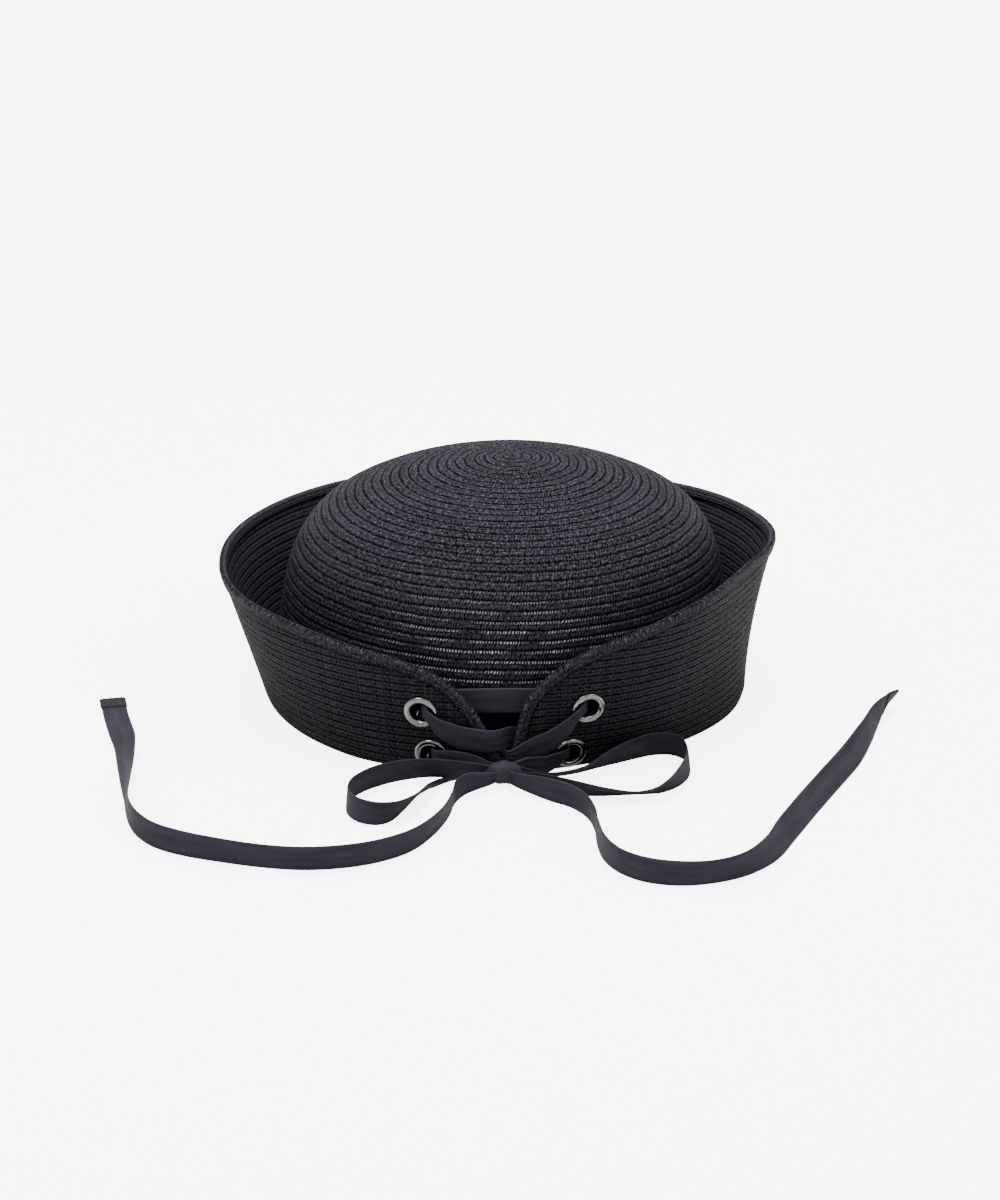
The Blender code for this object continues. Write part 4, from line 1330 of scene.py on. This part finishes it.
class HAT_OT_ribbons(bpy.types.Operator):
    """Build the lacing, the bow loops and the tails with their stitched hems"""

    bl_idname = "hat.ribbons"
    bl_label = "Build Ribbons"

    def execute(self, context):
        ribbon = context.scene.hat_ribbon
        satin = satin_material("satin_ribbon", ribbon.satin_colour)
        thread = thread_material("sewing_thread", ribbon.thread_colour)
        stitches = stitch_tree(thread)
        for name in ROUTES:
            piece, path = self.strip(name, satin, ribbon)
            fit(piece, "satin_ribbon", name)
            if name in HEMMED:
                self.hem_stitches(name, stitches, thread, ribbon)
            name in CORDS
        self.knot(satin)
        return {"FINISHED"}

    def strip(self, name, material, ribbon):
        """One strip: lanes across it, with gathers where it narrows and soft ripples."""
        hemmed = name in HEMMED
        centre, up, face, half, gather = ribbon_path(
            name, HEMMED_ROUTE_POINTS if hemmed else ROUTE_POINTS)
        count = len(centre)
        run = run_along(centre)
        lanes = np.linspace(-1.0, 1.0, RIBBON_LANES)
        pleat = np.clip((1.0 - gather) * 2.2, 0.0, 1.0)[:, None] * PLEAT_DEPTH
        ripple = np.sin(lanes[None] * 8.5 + run[:, None] * 35.0) * pleat
        cup = (lanes ** 2)[None] * CUP_DEPTH * np.sin(run * 47.0 + len(name))[:, None]
        thick = np.full(count, ribbon.thickness / 2)
        if hemmed:
            # The end is folded back on itself, so it is thicker and a little wider
            folded = np.clip((run - (run[-1] - ribbon.hem)) / 0.0004, 0.0, 1.0)
            thick = thick * (1.0 + 1.4 * folded)
            half = half * (1.0 + folded * (0.05 + 0.02 * np.sin(run * 4200.0)))
        bend = (ripple + cup)[..., None] * face[:, None]
        middle = centre[:, None] + up[:, None] * (half[:, None] * lanes[None])[..., None] + bend
        if hemmed:
            # The cut end is uneven
            onward = unit(centre[-1] - centre[-2])
            middle[-1] += (np.sin(lanes * 23.0) * CUT_DEPTH)[:, None] * onward
        round_off = np.sqrt(np.maximum(1.0 - np.abs(lanes) ** 6, 0.05))
        offset = face[:, None] * (thick[:, None] * round_off[None])[..., None]
        loop = np.concatenate([middle + offset, (middle - offset)[:, ::-1]], axis=1)
        loop[..., 2] = np.maximum(loop[..., 2], FLOOR_GAP)
        ring = loop.shape[1]
        caps = [(base + k, base + k + 1, base + ring - 2 - k, base + ring - 1 - k)
                for base in (0, (count - 1) * ring) for k in range(len(lanes) - 1)]
        faces = np.vstack([grid_faces(count, ring, False, True), caps])
        v_ring = np.concatenate([(lanes + 1) / 2, (lanes[::-1] + 1) / 2])
        uvs = grid_uvs(faces, np.repeat(run, ring), np.tile(v_ring, count))
        piece = make_mesh(name + "_satin", loop.reshape(-1, 3), faces, material, uvs)
        path = centre + SHIFT
        if hemmed:
            self.mark_hem(piece, path, ribbon.hem)
            path = path[::-2][::-1]
        return piece, path

    def mark_hem(self, piece, path, hem):
        """Tell the satin where the folded, frayed end of a tail is, and where painted shade marks
        the fold's start.
        """
        mesh = piece.data
        onward = unit(path[-1] - path[-8])
        spots = np.array([v.co[:] for v in mesh.vertices])
        near = np.linalg.norm(spots - path[-1], axis=1) < hem * 2
        back = (path[-1] - spots) @ onward
        value = np.where(near, np.clip((hem - back) / 0.0012 + 0.5, 0, 1), 0.0)
        layer = mesh.attributes.new("hem", "FLOAT", "POINT")
        layer.data.foreach_set("value", value.astype(np.float32))

    def hem_stitches(self, name, tree, material, ribbon):
        """A row of small stitches across the folded hem, on both faces."""
        centre, up, face, half, _ = ribbon_path(name, ROUTE_POINTS)
        run = run_along(centre)
        k = int(np.searchsorted(run, run[-1] - ribbon.hem * 0.9))
        lift = face[k] * (ribbon.thickness * 0.88 + ribbon.thread * 0.2)
        spots = []
        for share in np.arange(-0.82, 0.83, 0.27):
            for sign in (1.0, -1.0):
                spot = centre[k] + up[k] * half[k] * share + lift * sign
                spot[2] = max(spot[2], ribbon.thread)
                spots.append(spot)
        guide = guide_mesh(name + "_marks", np.array(spots) + SHIFT, along=[up[k]] * len(spots))
        mesh = grow(tree, guide, {"Length": ribbon.stitch, "Thickness": ribbon.thread})
        piece = finish_mesh(name + "_stitches", mesh, material)
        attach(piece, "root")
        return piece

    def knot(self, material):
        """The knot: a band of gathered ribbon wound round the strips."""
        half = np.array(KNOT_HALF_SIZE) * KNOT_PUFF
        across = np.linspace(-1.0, 1.0, 41)
        around = np.linspace(0.0, 2 * np.pi, 72, endpoint=False)
        t, a = np.meshgrid(across, around, indexing="ij")
        barrel = (1.0 - np.abs(t) ** 2.4) ** 0.62
        pleats = 1.0 + 0.045 * np.sin(t * 9.0 + 1.6 * np.sin(a + 0.6)) * (1 - t ** 2)
        x = t * (1.0 - 0.05 * np.cos(a))
        y = np.sign(np.cos(a)) * np.abs(np.cos(a)) ** 0.8 * barrel * pleats
        z = np.sign(np.sin(a)) * np.abs(np.sin(a)) ** 0.8 * barrel * pleats
        points = (np.stack([x, y, z], -1) * half).reshape(-1, 3) + np.array(KNOT_CENTRE)
        faces = grid_faces(len(across), len(around), False, True)
        u = np.tile(around, len(across)) * KNOT_RADIUS
        uvs = grid_uvs(faces, u, np.repeat((across + 1) / 2, len(around)))
        fit(make_mesh("bow_knot_satin", points, faces, material, uvs), "satin_ribbon", "bow_knot")


class HAT_OT_stage(bpy.types.Operator):
    """Set the pale floor, the soft studio light and the camera"""

    bl_idname = "hat.stage"
    bl_label = "Build Stage"

    def execute(self, context):
        stage = context.scene.hat_stage
        material, tree, shader = new_material("floor")
        # The glow is only for the view: it lights nothing, so the hat keeps its own shading
        seen = field(tree, "ShaderNodeLightPath", output="Is Camera Ray")
        plug_all(shader, {
            "Base Color": (*stage.floor_colour, 1.0), "Roughness": 0.9,
            "Specular IOR Level": 0.1, "Emission Color": WHITE,
            "Emission Strength": seen * stage.floor_glow,
        })
        mesh = bpy.data.meshes.new("floor")
        corners = [(x * FLOOR_EDGE, y * FLOOR_EDGE, 0) for x, y in
                   ((-1, -1), (1, -1), (1, 1), (-1, 1))]
        mesh.from_pydata(corners, [], [(0, 1, 2, 3)])
        mesh.materials.append(material)
        new_object("floor", mesh)
        world = bpy.data.worlds.new("studio")
        context.scene.world = world
        world.use_nodes = True
        plug_all(world.node_tree.nodes["Background"], {"Color": WHITE, "Strength": 1.05})
        for light in LIGHTS:
            self.area(*light)
        lens = bpy.data.cameras.new("camera")
        lens.sensor_width = 36.0
        lens.lens = stage.lens
        lens.clip_start = 0.01
        lens.clip_end = 100.0
        e = np.radians(stage.elevation)
        back = Vector((0.0, -float(np.cos(e)), float(np.sin(e))))
        camera = new_object("camera", lens)
        self.aim(camera, Vector(CAMERA_TARGET) + back * stage.distance, -back)
        context.scene.camera = camera
        return {"FINISHED"}

    def aim(self, thing, place, look):
        thing.location = place
        thing.rotation_mode = "QUATERNION"
        thing.rotation_quaternion = look.to_track_quat("-Z", "Y")

    def area(self, name, place, target, width, power):
        """A large soft light that looks at a point."""
        light = bpy.data.lights.new(name, "AREA")
        light.shape = "SQUARE"
        light.size = width
        light.energy = power
        self.aim(new_object(name, light), place, Vector(target) - Vector(place))


class HAT_PT_sidebar(bpy.types.Panel):
    """Lists the hat's pieces and their sizes"""

    bl_idname = "HAT_PT_sidebar"
    bl_label = "Straw Sailor Hat"
    bl_space_type = "VIEW_3D"
    bl_region_type = "UI"
    bl_category = "Sailor Hat"

    def draw(self, context):
        for group, operators in (
            ("hat_straw", (HAT_OT_crown, HAT_OT_brim, HAT_OT_binding)),
            ("hat_eyelets", (HAT_OT_eyelets,)),
            ("hat_ribbon", (HAT_OT_ribbons,)),
            ("hat_stage", (HAT_OT_stage,)),
        ):
            box = self.layout.box()
            settings = getattr(context.scene, group)
            for key in settings.__annotations__:
                box.prop(settings, key)
            for operator in operators:
                box.operator(operator.bl_idname)


GROUPS = (
    ("hat_straw", StrawSettings), ("hat_eyelets", EyeletSettings),
    ("hat_ribbon", RibbonSettings), ("hat_stage", StageSettings),
)
CLASSES = (
    HAT_OT_stage, HAT_OT_crown, HAT_OT_brim, HAT_OT_binding, HAT_OT_eyelets, HAT_OT_ribbons,
    HAT_PT_sidebar,
)


def register():
    for name, group in GROUPS:
        bpy.utils.register_class(group)
        setattr(bpy.types.Scene, name, bpy.props.PointerProperty(type=group))
    for item in CLASSES:
        bpy.utils.register_class(item)


def unregister():
    for item in reversed(CLASSES):
        bpy.utils.unregister_class(item)
    for name, group in reversed(GROUPS):
        delattr(bpy.types.Scene, name)
        bpy.utils.unregister_class(group)


def main():
    """Build everything in order."""
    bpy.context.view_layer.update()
    register()
    bpy.ops.hat.stage()
    bpy.ops.hat.ribbons()
    bpy.ops.hat.crown()
    bpy.ops.hat.brim()
    bpy.ops.hat.binding()
    bpy.ops.hat.eyelets()


if __name__ == "__main__":
    main()
